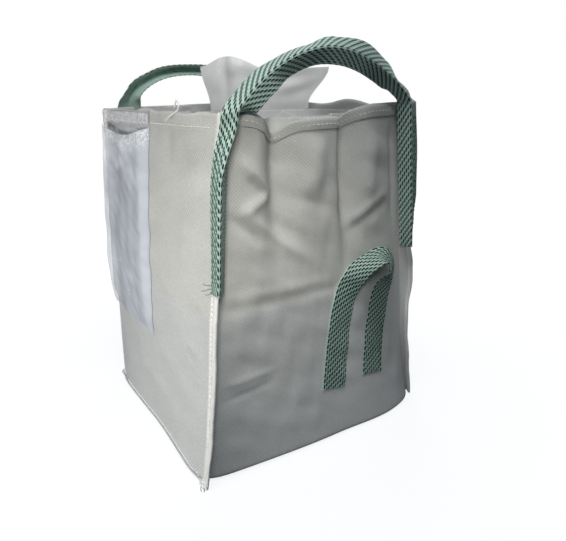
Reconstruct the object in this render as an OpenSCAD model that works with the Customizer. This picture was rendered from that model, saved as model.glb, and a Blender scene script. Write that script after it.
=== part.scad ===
// Small bulk bag: one cloth forms front, base and back, two side panels are sewn in,
// with two lift loops, a tipping loop, a clear document pouch and a film liner.
// Millimetres, +Z up, base centre at the origin, front panel towards -Y, pouch on the -X side.

/* [Bag body] */
// Height of the rim above the floor
bag_h = 600; // [450:10:900]
// Width of the front panel at the base
base_w = 450; // [360:10:700]
// Depth of the side panels at the base
base_d = 448; // [360:2:700]
// How far the two front corners of the base stand out sideways
foot_flare = 16; // [0:1:24]
// Corner to corner along the front rim, drawn in by the folds
rim_w = 362; // [280:2:640]
// Depth of the side panels at the rim
rim_d = 462; // [360:2:700]
// Cloth thickness, seams and coating included
cloth_t = 2; // [1.5:0.1:3]
// Depth of the folds in the rim
fold_depth = 26; // [0:1:34]
// How far the front rim drops at its deepest fold
rim_dip = 36; // [0:1:44]
// How far the lower front wall bellies out
belly = 26; // [0:1:40]
// How far the side panels belly out
side_belly = 6; // [0:1:20]
// Radius of the folds between the base and the walls
bend_r = 18; // [10:1:30]
// Height of the hem round the rim
hem_h = 22; // [14:1:40]

/* [Seams] */
// Width of the standing corner seams
fin_w = 25; // [25:0.5:34]
// Width of the seam round the base
base_fin_w = 6; // [6:0.5:16]
// Sideways lean of the corner seams at the rim
fin_lean = 16; // [0:1:40]
// Sideways lean of the corner seams at the base
ear_lean = 35; // [0:1:45]
// How far the edge of a corner seam hangs down at the base
ear_drop = 14; // [0:1:16]
// Diameter of the sewing thread
thread_d = 2; // [1.5:0.1:3]

/* [Lift loops] */
// Webbing width
strap_w = 50; // [40:1:52]
// Webbing thickness
strap_t = 2; // [1.5:0.1:3]
// Length of strap sewn over each corner seam
sewn_len = 263; // [180:1:320]
// Height of the fold of each loop above the rim
loop_rise = 90; // [70:1:160]
// Distance of the middle of the back straps from the corner seams
back_strap_in = 52; // [45:1:80]
// Slope of the two halves of the webbing either side of its fold, where a loop is open
loop_slope = 30; // [15:1:45]
// Share of the loop at each end that bends when it swings
bend_share = 0.16; // [0.12:0.01:0.22]

/* [Tipping loop] */
// Middle of the tipping loop, right of the bag's middle
tip_x = 80; // [0:1:90]
// Spacing of its two ends
tip_spacing = 97; // [80:1:140]
// Height of the lower ends above the floor
tip_z = 98; // [60:1:160]
// Sewn length of each end
tip_sewn = 105; // [70:1:140]
// Height of the free arch
tip_rise = 152; // [90:1:180]
// Lean of the arch to the right
tip_lean = 26; // [0:1:40]

/* [Document pouch] */
// Pouch width
pouch_w = 221; // [180:1:228]
// Gap between the pouch and the back corner, where the corner is nearest
pouch_room = 2.3; // [2:0.1:40]
// Pouch height below the hem
pouch_h = 395; // [240:1:420]
// Film thickness
film_t = 1; // [0.8:0.1:1.5]
// Room between the two films
pouch_gap = 9; // [7:0.5:16]
// Sag of the open mouth
pouch_sag = 22; // [8:1:30]

/* [Liner] */
// Gap between the liner and the cloth
liner_gap = 8; // [7:0.5:14]
// How far the liner's edge stays below the rim
liner_drop = 12; // [10:1:60]
// Height of the standing flap of the liner
flap_h = 96; // [60:1:130]
// Width of the flap at its foot
flap_w = 190; // [140:1:200]
// Extra width of the flap at its top
flap_flare = 85; // [0:1:100]

/* [Hidden] */
seam_gap = 0.15;
clear = 0.35;
wall_steps = 13;
arc_steps = 3;
base_steps = 8;
across_steps = 24;
arch_steps = 26;
base_z = cloth_t + seam_gap;
skin = cloth_t + seam_gap;
low_t = (base_z + bend_r) / bag_h;
ear_h = 60;
ear_top = low_t + ear_h / bag_h;
hem_t = 1 - hem_h / bag_h;
under_hem_t = 1 - (hem_h + 1) / bag_h;
wall_ts = concat([1, hem_t, under_hem_t],
    [for (k = [1 : wall_steps]) lerp(under_hem_t, low_t, k / wall_steps)]);
wall_rows = len(wall_ts);
half_rows = wall_rows + arc_steps;
across = [for (k = [0 : across_steps]) -1 + 2 * k / across_steps];
strap_gap = skin + 0.3;
strap_half = strap_w / 2 - strap_gap;

cloth_colour = [0.90, 0.90, 0.88];
webbing_colour = [0.72, 0.84, 0.78];
film_colour = [0.80, 0.86, 0.90, 0.5];
thread_colour = [0.96, 0.96, 0.94];

// Small functions
function lerp(a, b, k) = a + (b - a) * k;
function smooth(a, b, x) = let (k = min(max((x - a) / (b - a), 0), 1)) k * k * (3 - 2 * k);
function unit(v) = v / norm(v);
function bump(u, centre, width) = exp(-pow((u - centre) / width, 2));
function miter(n, m) = (n + m) / (1 + n * m);
function flip(p, sx, sy) = [p[0] * -sx, p[1] * -sy, p[2]];
function flip_rows(rows, sx, sy) = [for (r = rows) [for (p = r) flip(p, sx, sy)]];
function bezier(a, b, c, d, s) = a * pow(1 - s, 3) + 3 * b * pow(1 - s, 2) * s
    + 3 * c * (1 - s) * s * s + d * pow(s, 3);

// Shape of the walls: t runs from 0 at the floor to 1 at the rim, v from -1 at the front to 1 at the back
function flare(t, v) = foot_flare * pow(max(-v, 0), 1.5) * pow(max(1 - 2 * t, 0), 2);
function corner_x(t, v = 1) = base_w / 2 - (base_w - rim_w) / 2 * pow(t, 1.25) + flare(t, v);
function corner_y(t) = base_d / 2 + (rim_d - base_d) / 2 * t;
function rim_fade(t) = smooth(0.48, 1, t);
function front_fold(u) = 0.5 * (1 - u * u) - 1.3 * bump(u, -0.38, 0.17) - 1.1 * bump(u, 0.31, 0.13);
function back_fold(u) = 0.4 * (1 - u * u) - 0.9 * bump(u, -0.18, 0.17) - 0.8 * bump(u, 0.28, 0.13);
function front_dip(u) = 0.42 * smooth(-0.75, -0.42, u) * (1 - smooth(0.25, 0.66, u))
    + 0.58 * bump(u, -0.38, 0.14) + 0.2 * bump(u, 0.31, 0.12);
function front_belly(u, t) = belly * (1 - u * u) * (1 + 0.5 * u) * pow(1 - t, 1.4);
function back_belly(u, t) = 0.6 * belly * (1 - u * u) * pow(1 - t, 1.4);
function front_out(u, t) = corner_y(t) + front_belly(u, t) + fold_depth * front_fold(u) * rim_fade(t);
function back_out(u, t) = corner_y(t) + back_belly(u, t) + fold_depth * back_fold(u) * rim_fade(t);
function side_out(v, t) = corner_x(t, v) + side_belly * (1 - v * v) * sin(180 * t);

// Rows of the long cloth, counted from each rim down to the end of the base fold
function row_turn(i) = i < wall_rows ? 0 : 90 * (i - wall_rows + 1) / arc_steps;
function row_z(i) = i < wall_rows ? wall_ts[i] * bag_h : base_z + bend_r * (1 - sin(row_turn(i)));
function row_inset(i) = bend_r * (1 - cos(row_turn(i)));
function front_point(u, i) = let (t = row_z(i) / bag_h)
    [corner_x(t, -1) * u, row_inset(i) - front_out(u, t), row_z(i) - rim_dip * front_dip(u) * pow(t, 6)];
function back_point(u, i) = let (t = row_z(i) / bag_h)
    [corner_x(t) * u, back_out(u, t) - row_inset(i), row_z(i)];
function base_point(u, k) = let (a = front_point(u, half_rows - 1), b = back_point(u, half_rows - 1))
    [corner_x(base_z / bag_h, -1 + 2 * k / base_steps) * u, lerp(a[1], b[1], k / base_steps), base_z];
function wall_normal(i, sy) = [0, sy * cos(row_turn(i)), -sin(row_turn(i))];

// Standing corner seam: its direction, the normal on the long cloth's face of it, its width
// and the way from its root to its edge, which hangs down at the base
function seam_lean(t) = fin_lean * smooth(0.55, 1, t) + ear_lean * (1 - smooth(low_t, ear_top, t));
function seam_way(i, sx, sy) = let (lean = seam_lean(row_z(i) / bag_h), turn = row_turn(i))
    unit(cos(turn) * [sx * sin(lean), sy * cos(lean), 0] + sin(turn) * [sx, 0, 0]);
function seam_normal(i, sx, sy) = let (lean = seam_lean(row_z(i) / bag_h), turn = row_turn(i),
    n = cos(turn) * [-sx * cos(lean), sy * sin(lean), 0] + sin(turn) * [0, 0, -1],
    way = seam_way(i, sx, sy)) unit(n - (n * way) * way);
function seam_width(i) = lerp(fin_w, base_fin_w, sin(row_turn(i)));
function seam_drop(i) = let (z = row_z(i))
    min(ear_drop * (1 - smooth(low_t, ear_top, z / bag_h)), z - base_z);
function seam_reach(i, sx, sy) = seam_width(i) * seam_way(i, sx, sy) - [0, 0, seam_drop(i)];

// Closed solid from points and four-sided faces, turned the right way out
module closed_solid(points, quads) {
    faces = [for (q = quads) each (len(q) == 3 ? [q] : [[q[0], q[1], q[2]], [q[0], q[2], q[3]]])];
    volumes = [for (f = faces) points[f[0]] * cross(points[f[1]], points[f[2]])];
    turned = volumes * [for (f = faces) 1] > 0;
    polyhedron(points, [for (f = faces) turned ? [f[2], f[1], f[0]] : f], convexity = 8);
}

// Sheet with thickness: two grids of the same size and the four edges between them.
// Each four-sided cell is split along the diagonal that runs outwards, so both halves mirror each other.
module sheet(inner, outer) {
    rows = len(inner);
    cols = len(inner[0]);
    far = rows * cols;
    last = rows - 1;
    side = cols - 1;
    function at(i, j) = i * cols + j;
    function cell(i, j) = j < side / 2 ? [at(i, j + 1), at(i + 1, j + 1), at(i + 1, j), at(i, j)]
        : [at(i, j), at(i, j + 1), at(i + 1, j + 1), at(i + 1, j)];
    function far_cell(i, j) = let (c = cell(i, j)) [far + c[0], far + c[3], far + c[2], far + c[1]];
    closed_solid([for (g = [inner, outer], r = g, p = r) p], concat(
        [for (i = [0 : last - 1], j = [0 : side - 1]) cell(i, j)],
        [for (i = [0 : last - 1], j = [0 : side - 1]) far_cell(i, j)],
        [for (j = [0 : side - 1]) [at(0, j + 1), at(0, j), far + at(0, j), far + at(0, j + 1)]],
        [for (j = [0 : side - 1])
            [at(last, j), at(last, j + 1), far + at(last, j + 1), far + at(last, j)]],
        [for (i = [0 : last - 1]) [at(i, 0), at(i + 1, 0), far + at(i + 1, 0), far + at(i, 0)]],
        [for (i = [0 : last - 1])
            [at(i + 1, side), at(i, side), far + at(i, side), far + at(i + 1, side)]]));
}

// Thread lying along a path, with the direction that points away from the cloth
module thread(path, away) {
    sides = 5;
    count = len(path);
    rings = [for (i = [0 : count - 1])
        let (along = unit(path[min(i + 1, count - 1)] - path[max(i - 1, 0)]),
            up = unit(away - (away * along) * along), over = cross(along, up))
        [for (k = [0 : sides - 1])
            path[i] + thread_d / 2 * (cos(360 * k / sides) * up + sin(360 * k / sides) * over)]];
    function at(i, k) = i * sides + k % sides;
    closed_solid([for (r = rings, p = r) p], concat(
        [for (i = [0 : count - 2], k = [0 : sides - 1])
            [at(i, k), at(i, k + 1), at(i + 1, k + 1), at(i + 1, k)]],
        [for (k = [1 : sides - 2]) [at(0, 0), at(0, k + 1), at(0, k)]],
        [for (k = [1 : sides - 2]) [at(count - 1, 0), at(count - 1, k), at(count - 1, k + 1)]]));
}

// Long cloth: front wall, base and back wall in one piece, with its two seam edges
function cloth_row(points, n, edges, depth, hem) = concat(
    [points[0] + edges[0][0] + depth * edges[0][1]],
    [points[0] + depth * miter(n, edges[0][1])],
    [for (j = [1 : across_steps - 1]) points[j] + (depth + hem) * n],
    [points[across_steps] + depth * miter(n, edges[1][1])],
    [points[across_steps] + edges[1][0] + depth * edges[1][1]]);
function wall_edges(i, sy) = [for (sx = [-1, 1]) [seam_reach(i, sx, sy), seam_normal(i, sx, sy)]];
function hem_extra(i, depth) = i < 2 && depth > seam_gap ? cloth_t : 0;
function u_grid(depth) = concat(
    [for (i = [0 : half_rows - 1]) cloth_row([for (u = across) front_point(u, i)],
        wall_normal(i, -1), wall_edges(i, -1), depth, hem_extra(i, depth))],
    [for (k = [1 : base_steps - 1]) cloth_row([for (u = across) base_point(u, k)], [0, 0, -1],
        [for (sx = [-1, 1]) [[sx * base_fin_w, 0, 0], [0, 0, -1]]], depth, 0)],
    [for (i = [half_rows - 1 : -1 : 0]) cloth_row([for (u = across) back_point(u, i)],
        wall_normal(i, 1), wall_edges(i, 1), depth, hem_extra(i, depth))]);

module u_panel() {
    color(cloth_colour) sheet(u_grid(seam_gap), u_grid(skin));
}

// Side panel: a grid across the bag with a seam strip round three of its edges
function side_point(i, j, sx) = let (t = row_z(i) / bag_h, v = -1 + 2 * j / base_steps,
    a = front_point(sx, i), b = back_point(sx, i))
    [sx * side_out(v, t), lerp(a[1], b[1], j / base_steps), row_z(i)];
function side_edge_normal(i, j, sx) =
    j == 0 ? -seam_normal(i, sx, -1) : j == base_steps ? -seam_normal(i, sx, 1) : [0, 0, 1];
function side_edge_reach(i, j, sx) = j == 0 ? seam_reach(i, sx, -1)
    : j == base_steps ? seam_reach(i, sx, 1) : [sx * base_fin_w, 0, 0];
function on_edge(i, j) = j == 0 || j == base_steps || i == half_rows - 1;
function side_skin_point(i, j, sx, depth) = side_point(i, j, sx) + (on_edge(i, j)
    ? depth * miter([sx, 0, 0], side_edge_normal(i, j, sx))
    : (depth + hem_extra(i, depth)) * [sx, 0, 0]);
function side_seam_point(i, j, sx, depth) = side_point(i, j, sx)
    + side_edge_reach(i, j, sx) + depth * side_edge_normal(i, j, sx);

module side_panel(sx) {
    cols = base_steps + 1;
    low = half_rows - 1;
    grid_count = half_rows * cols;
    rim_loop = concat([for (i = [0 : low]) [i, 0]], [for (j = [1 : base_steps - 1]) [low, j]],
        [for (i = [low : -1 : 0]) [i, base_steps]]);
    edge_count = len(rim_loop);
    far = grid_count + edge_count;
    points = [for (depth = [seam_gap, skin]) each concat(
        [for (i = [0 : low], j = [0 : base_steps]) side_skin_point(i, j, sx, depth)],
        [for (e = rim_loop) side_seam_point(e[0], e[1], sx, depth)])];
    function at(i, j) = i * cols + j;
    function foot(m) = at(rim_loop[m][0], rim_loop[m][1]);
    function tip(m) = grid_count + m;
    end = edge_count - 1;
    closed_solid(points, concat(
        [for (i = [0 : low - 1], j = [0 : base_steps - 1])
            [at(i, j), at(i, j + 1), at(i + 1, j + 1), at(i + 1, j)]],
        [for (i = [0 : low - 1], j = [0 : base_steps - 1])
            [far + at(i, j), far + at(i + 1, j), far + at(i + 1, j + 1), far + at(i, j + 1)]],
        [for (j = [0 : base_steps - 1]) [at(0, j + 1), at(0, j), far + at(0, j), far + at(0, j + 1)]],
        [for (m = [0 : end - 1]) [foot(m), foot(m + 1), tip(m + 1), tip(m)]],
        [for (m = [0 : end - 1]) [far + foot(m), far + tip(m), far + tip(m + 1), far + foot(m + 1)]],
        [for (m = [0 : end - 1]) [tip(m), tip(m + 1), far + tip(m + 1), far + tip(m)]],
        [[foot(0), tip(0), far + tip(0), far + foot(0)],
            [tip(end), foot(end), far + foot(end), far + tip(end)]]));
}

module left_side_panel() {
    color(cloth_colour) side_panel(-1);
}

module right_side_panel() {
    color(cloth_colour) side_panel(1);
}

// Webbing section: two halves either side of a narrow fold. The fold points against "back",
// the first half lies on the "side" of it, and both halves open by "angle" from that side line.
function strap_row(fold, side, back, angle, depth) =
    let (turn = depth * tan(angle / 2), reach = strap_half * cos(angle), away = strap_half * sin(angle))
    [fold + (strap_gap + reach + depth * sin(angle)) * side + (away - depth * cos(angle)) * back,
        fold + (strap_gap + turn) * side - depth * back,
        fold - (strap_gap + turn) * side - depth * back,
        fold - (strap_gap + reach + depth * sin(angle)) * side + (away - depth * cos(angle)) * back];

// Front strap leg over the left corner seam; the right one is its mirror image
leg_ts = [for (k = [0 : 9]) lerp((bag_h - sewn_len) / bag_h, 1 - 0.2 / bag_h, k / 9)];
function leg_way(t) = [-sin(seam_lean(t)), -cos(seam_lean(t)), 0];
function leg_side(t) = [-cos(seam_lean(t)), sin(seam_lean(t)), 0];
function leg_fold(t) = [-corner_x(t), -corner_y(t), t * bag_h] + (fin_w + 0.3) * leg_way(t);
function leg_rows(depth) = [for (t = leg_ts) strap_row(leg_fold(t), leg_side(t), -leg_way(t), 90, depth)];

module front_leg(sx) {
    color(webbing_colour) sheet(flip_rows(leg_rows(0), sx, -1), flip_rows(leg_rows(strap_t), sx, -1));
}

// Back strap leg: sewn flat on the back wall beside the corner seam
strap_cols = 4;
strap_across = [for (k = [0 : strap_cols]) -0.5 + k / strap_cols];
function back_face(x, z) = let (t = z / bag_h) back_out(x / corner_x(t), t) + skin;
function over_hem(t) = clear + cloth_t * smooth(0.8, 0.95, t);
function back_strap_x(t) = corner_x(t) - back_strap_in;
function back_leg_y(x, t) = back_face(x, t * bag_h) + over_hem(t);
function back_leg_rows(sx, depth) = [for (t = leg_ts) [for (a = strap_across)
    let (x = sx * back_strap_x(t) + a * strap_w) [x, back_leg_y(x, t) + depth, t * bag_h]]];

module back_leg(sx) {
    color(webbing_colour) sheet(back_leg_rows(sx, 0), back_leg_rows(sx, strap_t));
}

// Lift loop: each half is written as the left half of a front loop and mirrored where needed.
// At its foot the front loop is folded over the corner seam and the back loop lies flat.
// The left half of the front loop leaves its corner lower, and its crown leans to the right.
function loop_foot(sy) = sy < 0 ? leg_fold(1) : [-back_strap_x(1), -back_leg_y(-back_strap_x(1), 1), bag_h];
function foot_side(sy) = sy < 0 ? leg_side(1) : [-1, 0, 0];
function foot_back(sy) = sy < 0 ? -leg_way(1) : [0, 1, 0];
function foot_angle(sy) = sy < 0 ? 90 : 0;
left_shoulder = [38, 0, 18];
right_shoulder = [28, 0, 30];
back_shoulder = [4, 0, 40];
left_crest = [80, 0, 0];
right_crest = [95, 0, -7];
back_crest = [60, 0, 0];
function loop_shoulder(sx, sy) = sy > 0 ? back_shoulder : sx < 0 ? left_shoulder : right_shoulder;
function loop_crest(sx, sy) = sy > 0 ? back_crest : sx < 0 ? left_crest : right_crest;
function half_fold(s, sx, sy) = let (foot = loop_foot(sy), top = [0, foot[1], bag_h + loop_rise])
    bezier(foot, foot + loop_shoulder(sx, sy), top - loop_crest(sx, sy), top, 2 * s);
function loop_half_row(s, sx, sy, depth) =
    let (step = 0.002, along = unit(half_fold(s + step, sx, sy) - half_fold(max(s - step, 0), sx, sy)),
        outward = [-along[2], 0, along[0]],
        side = unit(lerp(foot_side(sy), outward, smooth(0, 0.14, s))),
        tilt = 25 * smooth(0.05, 0.45, s),
        arch_back = cos(tilt) * [0, 1, 0] - sin(tilt) * side,
        back_mix = lerp(foot_back(sy), arch_back, smooth(0, 0.25, s)),
        back = unit(back_mix - (back_mix * side) * side),
        angle = lerp(foot_angle(sy), loop_slope, smooth(0.01, 0.26, s)))
    strap_row(half_fold(s, sx, sy), side, back, angle, depth);
function loop_row(s, sy, depth) = s <= 0.5 ? loop_half_row(s, -1, sy, depth)
    : [for (p = loop_half_row(1 - s, 1, sy, depth)) [-p[0], p[1], p[2]]];
function loop_rows(sy, depth) =
    [for (k = [0 : arch_steps]) loop_row(lerp(free_from, 1 - free_from, k / arch_steps), sy, depth)];
function bend_rows(sx, sy, depth) =
    [for (k = [0 : bend_steps]) loop_half_row(bend_share * k / bend_steps, sx, sy, depth)];
bend_steps = 5;
cut_share = 0.001;
free_from = bend_share + cut_share;

module lift_loop(sy) {
    color(webbing_colour) sheet(flip_rows(loop_rows(sy, 0), -1, sy),
        flip_rows(loop_rows(sy, strap_t), -1, sy));
}

module loop_bend(sx, sy) {
    color(webbing_colour) sheet(flip_rows(bend_rows(sx, sy, 0), sx, sy),
        flip_rows(bend_rows(sx, sy, strap_t), sx, sy));
}

module front_loop() {
    lift_loop(-1);
}

module front_loop_left_bend() {
    loop_bend(-1, -1);
}

module front_loop_right_bend() {
    loop_bend(1, -1);
}

module front_strap_left_leg() {
    front_leg(-1);
}

module front_strap_right_leg() {
    front_leg(1);
}

module back_loop() {
    lift_loop(1);
}

module back_loop_left_bend() {
    loop_bend(-1, 1);
}

module back_loop_right_bend() {
    loop_bend(1, 1);
}

module back_strap_left_leg() {
    back_leg(-1);
}

module back_strap_right_leg() {
    back_leg(1);
}

// Tipping loop: two ends sewn flat on the front wall and an arch that stands off it
function front_face(x, z) = let (t = z / bag_h) -front_out(x / corner_x(t, -1), t) - skin;
tip_top = tip_z + tip_sewn;
function tip_end_rows(x, depth) = [for (k = [0 : 5]) let (z = lerp(tip_z, tip_top - 0.2, k / 5))
    [for (a = strap_across) [x + a * strap_w, front_face(x + a * strap_w, z) - clear - depth, z]]];
function tip_path(s) = bezier([-tip_spacing / 2, 0, tip_top],
    [-tip_spacing / 2, 0, tip_top + tip_rise * 4 / 3], [tip_spacing / 2, 0, tip_top + tip_rise * 4 / 3],
    [tip_spacing / 2, 0, tip_top], s) + [tip_x + tip_lean * pow(sin(180 * s), 2), 0, 0];
function tip_turn(s) = smooth(0.02, 0.4, min(s, 1 - s));
function tip_row(s, depth) =
    let (p = tip_path(s), along = unit(tip_path(s + 0.002) - tip_path(s - 0.002)),
        w = 0.86 * tip_turn(s), radial = [-along[2], 0, along[0]],
        normal = unit((1 - w) * [0, -1, 0] + w * radial), width = cross(normal, along),
        stand = clear + 0.54 * strap_w * tip_turn(s),
        middle = [p[0], front_face(p[0], p[2]) - stand, p[2]])
    [for (a = strap_across) let (q = middle + a * strap_w * width,
            wall = front_face(q[0], min(q[2], bag_h)) - clear)
        [q[0], min(lerp(wall, q[1], tip_turn(s)), wall - 0.6 * tip_turn(s)), q[2]] + depth * normal];
function tip_rows(from, to, steps, depth) = [for (k = [0 : steps]) tip_row(lerp(from, to, k / steps), depth)];
tip_bend = 0.13;

module tipping_loop() {
    color(webbing_colour) sheet(tip_rows(tip_bend + cut_share, 1 - tip_bend - cut_share, 22, 0),
        tip_rows(tip_bend + cut_share, 1 - tip_bend - cut_share, 22, strap_t));
}

module tipping_left_bend() {
    color(webbing_colour) sheet(tip_rows(0, tip_bend, 4, 0), tip_rows(0, tip_bend, 4, strap_t));
}

module tipping_right_bend() {
    color(webbing_colour) sheet(tip_rows(1, 1 - tip_bend, 4, 0), tip_rows(1, 1 - tip_bend, 4, strap_t));
}

module tipping_end(x) {
    color(webbing_colour) sheet(tip_end_rows(x, 0), tip_end_rows(x, strap_t));
}

module tipping_left_end() {
    tipping_end(tip_x - tip_spacing / 2);
}

module tipping_right_end() {
    tipping_end(tip_x + tip_spacing / 2);
}

// Document pouch on the left panel: header sewn to the hem, two films below it
function left_face(y, z) = let (t = z / bag_h) -side_out(y / corner_y(t), t) - skin;
pouch_cols = 8;
pouch_top = bag_h - hem_h - 2;
pouch_back = min(corner_y(1), corner_y((pouch_top - pouch_h) / bag_h)) - pouch_room;
pouch_front = pouch_back - pouch_w;
pouch_y = [for (k = [0 : pouch_cols]) lerp(pouch_front, pouch_back, k / pouch_cols)];
function pouch_share(y) = 2 * (y - pouch_front) / pouch_w - 1;
function pouch_film_rows(levels, depth) = [for (z = levels) [for (y = pouch_y)
    [left_face(y, z) - clear - depth, y, z]]];
function down_from(z, length, steps) = [for (k = [0 : steps]) z - length * k / steps];
function pouch_bulge(y, k) = pouch_gap * sqrt(max(1 - pow(pouch_share(y), 4), 0)) * (1 - pow(k, 6));
mouth_drop = 6;
header_lift = 3.5;
front_film_steps = 10;
function front_film_rows(depth) = [for (i = [0 : front_film_steps]) [for (y = pouch_y)
    let (k = i / front_film_steps, v = pouch_share(y),
        mouth = mouth_drop + pouch_sag * (1 - v * v), z = pouch_top - lerp(mouth, pouch_h, k))
    [left_face(y, z) - clear - film_t - 0.1 - pouch_bulge(y, k) - depth, y, z]]];

module pouch_header() {
    levels = [bag_h - 1, pouch_top + header_lift];
    color(film_colour) sheet(pouch_film_rows(levels, cloth_t), pouch_film_rows(levels, cloth_t + film_t));
}

module pouch_back_film() {
    levels = down_from(pouch_top, pouch_h, front_film_steps);
    color(film_colour) sheet(pouch_film_rows(levels, 0), pouch_film_rows(levels, film_t));
}

module pouch_front_film() {
    color(film_colour) sheet(front_film_rows(0), front_film_rows(film_t));
}

// Liner: an open film bag inside the cloth that cuts across the back right corner near its top
liner_top = bag_h - liner_drop;
fold_left = [-0.028 * rim_w / 2, 0.766 * corner_y(1)];
fold_right = [0.812 * corner_x(1), 0.035 * corner_y(1)];
fold_run_out = 60;
liner_sides = 8;
side_across = [for (k = [1 : liner_sides - 1]) -1 + 2 * k / liner_sides];
function liner_ring(t, gap) = let (x = corner_x(t) - gap, y = corner_y(t) - gap) concat(
    [for (u = across) [(corner_x(t, -1) - gap) * u, gap - front_out(u, t)]],
    [for (v = side_across) [side_out(v, t) - gap, y * v]],
    [for (k = [across_steps : -1 : 0]) [x * across[k], back_out(across[k], t) - gap]],
    [for (k = [liner_sides - 2 : -1 : 0]) [gap - side_out(side_across[k], t), y * side_across[k]]]);
// Points of the ring past the two ends of the fold line move onto it
fold_way = unit(fold_right - fold_left);
fold_length = norm(fold_right - fold_left);
function cut_corner(p, inward) = let (rel = p - fold_left, past = rel * [fold_way[1], -fold_way[0]],
    along = rel * fold_way, hit = along > 0 && along < fold_length ? 1
        : smooth(-fold_run_out, 0, along) * (1 - smooth(fold_length, fold_length + fold_run_out, along)))
    past < 0 ? p - (past - inward) * hit * [fold_way[1], -fold_way[0]] : p;
function liner_point(p, t, inward) = let (q = lerp(p, cut_corner(p, inward), smooth(0.62, 0.9, t)))
    [q[0], q[1], t * bag_h];
liner_ts = [for (k = [0 : 9]) lerp((base_z + bend_r + 2) / bag_h, liner_top / bag_h, k / 9)];
liner_foot = cloth_t + 0.3;
function foot_ring(gap, z) = [for (p = liner_ring(liner_ts[0], gap + bend_r)) [p[0], p[1], z]];
function liner_rings(gap, z, inward) = concat([foot_ring(gap, z)],
    [for (t = liner_ts) [for (p = liner_ring(t, gap)) liner_point(p, t, inward)]]);

module film_bag(outer, inner) {
    rings = len(outer);
    count = len(outer[0]);
    far = rings * count;
    centre = 2 * far;
    last = rings - 1;
    function at(i, k) = i * count + k % count;
    function middle(ring) = [0, 0, ring[0][2]];
    closed_solid(concat([for (g = [outer, inner], r = g, p = r) p], [middle(outer[0]), middle(inner[0])]),
        concat(
            [for (i = [0 : last - 1], k = [0 : count - 1])
                [at(i, k), at(i, k + 1), at(i + 1, k + 1), at(i + 1, k)]],
            [for (i = [0 : last - 1], k = [0 : count - 1])
                [far + at(i, k), far + at(i + 1, k), far + at(i + 1, k + 1), far + at(i, k + 1)]],
            [for (k = [0 : count - 1])
                [at(last, k), at(last, k + 1), far + at(last, k + 1), far + at(last, k)]],
            [for (k = [0 : count - 1]) [centre, at(0, k + 1), at(0, k)]],
            [for (k = [0 : count - 1]) [centre + 1, far + at(0, k), far + at(0, k + 1)]]));
}

module liner() {
    color(film_colour) film_bag(liner_rings(liner_gap, liner_foot, 0),
        liner_rings(liner_gap + film_t, liner_foot + film_t, film_t));
}

// Standing flap of the liner on its straight fold line
flap_rows = 6;
flap_cols = 10;
// Its right end leans out further than its left end, and its top edge falls from a peak on the left
flap_shift = 14;
flap_slant = 20;
function flap_crest(a) = 1 - 0.17 * smooth(0.32, 0.5, -a) - 0.27 * smooth(-0.3, 0.05, a);
function flap_point(a, k, depth) =
    let (middle = (fold_left + fold_right) / 2, open = smooth(0.1, 1, k),
        along = flap_shift + flap_slant * open + a * (flap_w + flap_flare * open),
        over = [-fold_way[1], fold_way[0]] * -1,
        wave = 9 * k * sin(360 * a) - 14 * k * k * (1 - 4 * a * a),
        at = middle + along * fold_way + (wave - depth) * over)
    [at[0], at[1], liner_top + 0.6 + (flap_h + liner_drop) * k * flap_crest(a)];
function flap_grid(depth) = [for (i = [0 : flap_rows]) [for (j = [0 : flap_cols])
    flap_point(-0.5 + j / flap_cols, i / flap_rows, depth)]];

module liner_flap() {
    color(film_colour) sheet(flap_grid(0), flap_grid(-film_t));
}

// Sewing threads on the faces of the cloth
lift = thread_d / 2 + clear;
twist_room = 0.5;
thread_end = 8;
function seam_thread_path(sy) = [for (k = [0 : 10])
    let (z = lerp(ear_top * bag_h, bag_h - sewn_len - thread_end / 2, k / 10), t = z / bag_h)
    [-corner_x(t, sy), -corner_y(t), z] + 0.3 * fin_w * leg_way(t)
    + (skin + lift + twist_room) * leg_side(t)];

module seam_thread(sx, sy) {
    color(thread_colour) thread([for (p = seam_thread_path(sy)) flip(p, sx, sy)],
        flip(leg_side(0.2), sx, sy));
}

module front_left_seam_thread() {
    seam_thread(-1, -1);
}

module front_right_seam_thread() {
    seam_thread(1, -1);
}

module back_left_seam_thread() {
    seam_thread(-1, 1);
}

module back_right_seam_thread() {
    seam_thread(1, 1);
}

module base_seam_thread(sx) {
    half = base_d / 2 - bend_r;
    color(thread_colour) thread([for (k = [0 : 8]) let (v = lerp(-0.99, 0.99, k / 8))
        [sx * (corner_x(0, v) + skin + lift), half * v, base_z + skin + lift]], [0, 0, 1]);
}

module left_base_seam_thread() {
    base_seam_thread(-1);
}

module right_base_seam_thread() {
    base_seam_thread(1);
}

// Hem threads follow the grid lines of the wall they lie on
hem_thread_z = bag_h - hem_h + thread_end / 2;
hem_cols = [2 : across_steps - 2];
function hem_drop(u) = rim_dip * front_dip(u);
thread_t = hem_thread_z / bag_h;
front_hem_path = [for (j = hem_cols) let (u = across[j])
    [corner_x(thread_t) * u, -front_out(u, thread_t) - skin - cloth_t - lift, hem_thread_z - hem_drop(u)]];
between_straps = back_strap_x(1) - strap_w / 2 - 2 * thread_d;
back_hem_path = [for (j = hem_cols) let (u = across[j]) if (abs(corner_x(thread_t) * u) < between_straps)
    [corner_x(thread_t) * u, back_out(u, thread_t) + skin + cloth_t + lift, hem_thread_z]];
function side_hem_path(sx, from, to) = [for (k = [0 : 8]) let (y = lerp(from, to, k / 8))
    [sx * (side_out(y / corner_y(thread_t), thread_t) + skin + cloth_t + lift), y, hem_thread_z]];

module front_hem_thread() {
    color(thread_colour) thread(front_hem_path, [0, -1, 0]);
}

module back_hem_thread() {
    color(thread_colour) thread(back_hem_path, [0, 1, 0]);
}

hem_reach = 0.74 * corner_y(1);
pouch_thread_room = 8;
thread_tail = 40;
tail_curl = 8;

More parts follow.
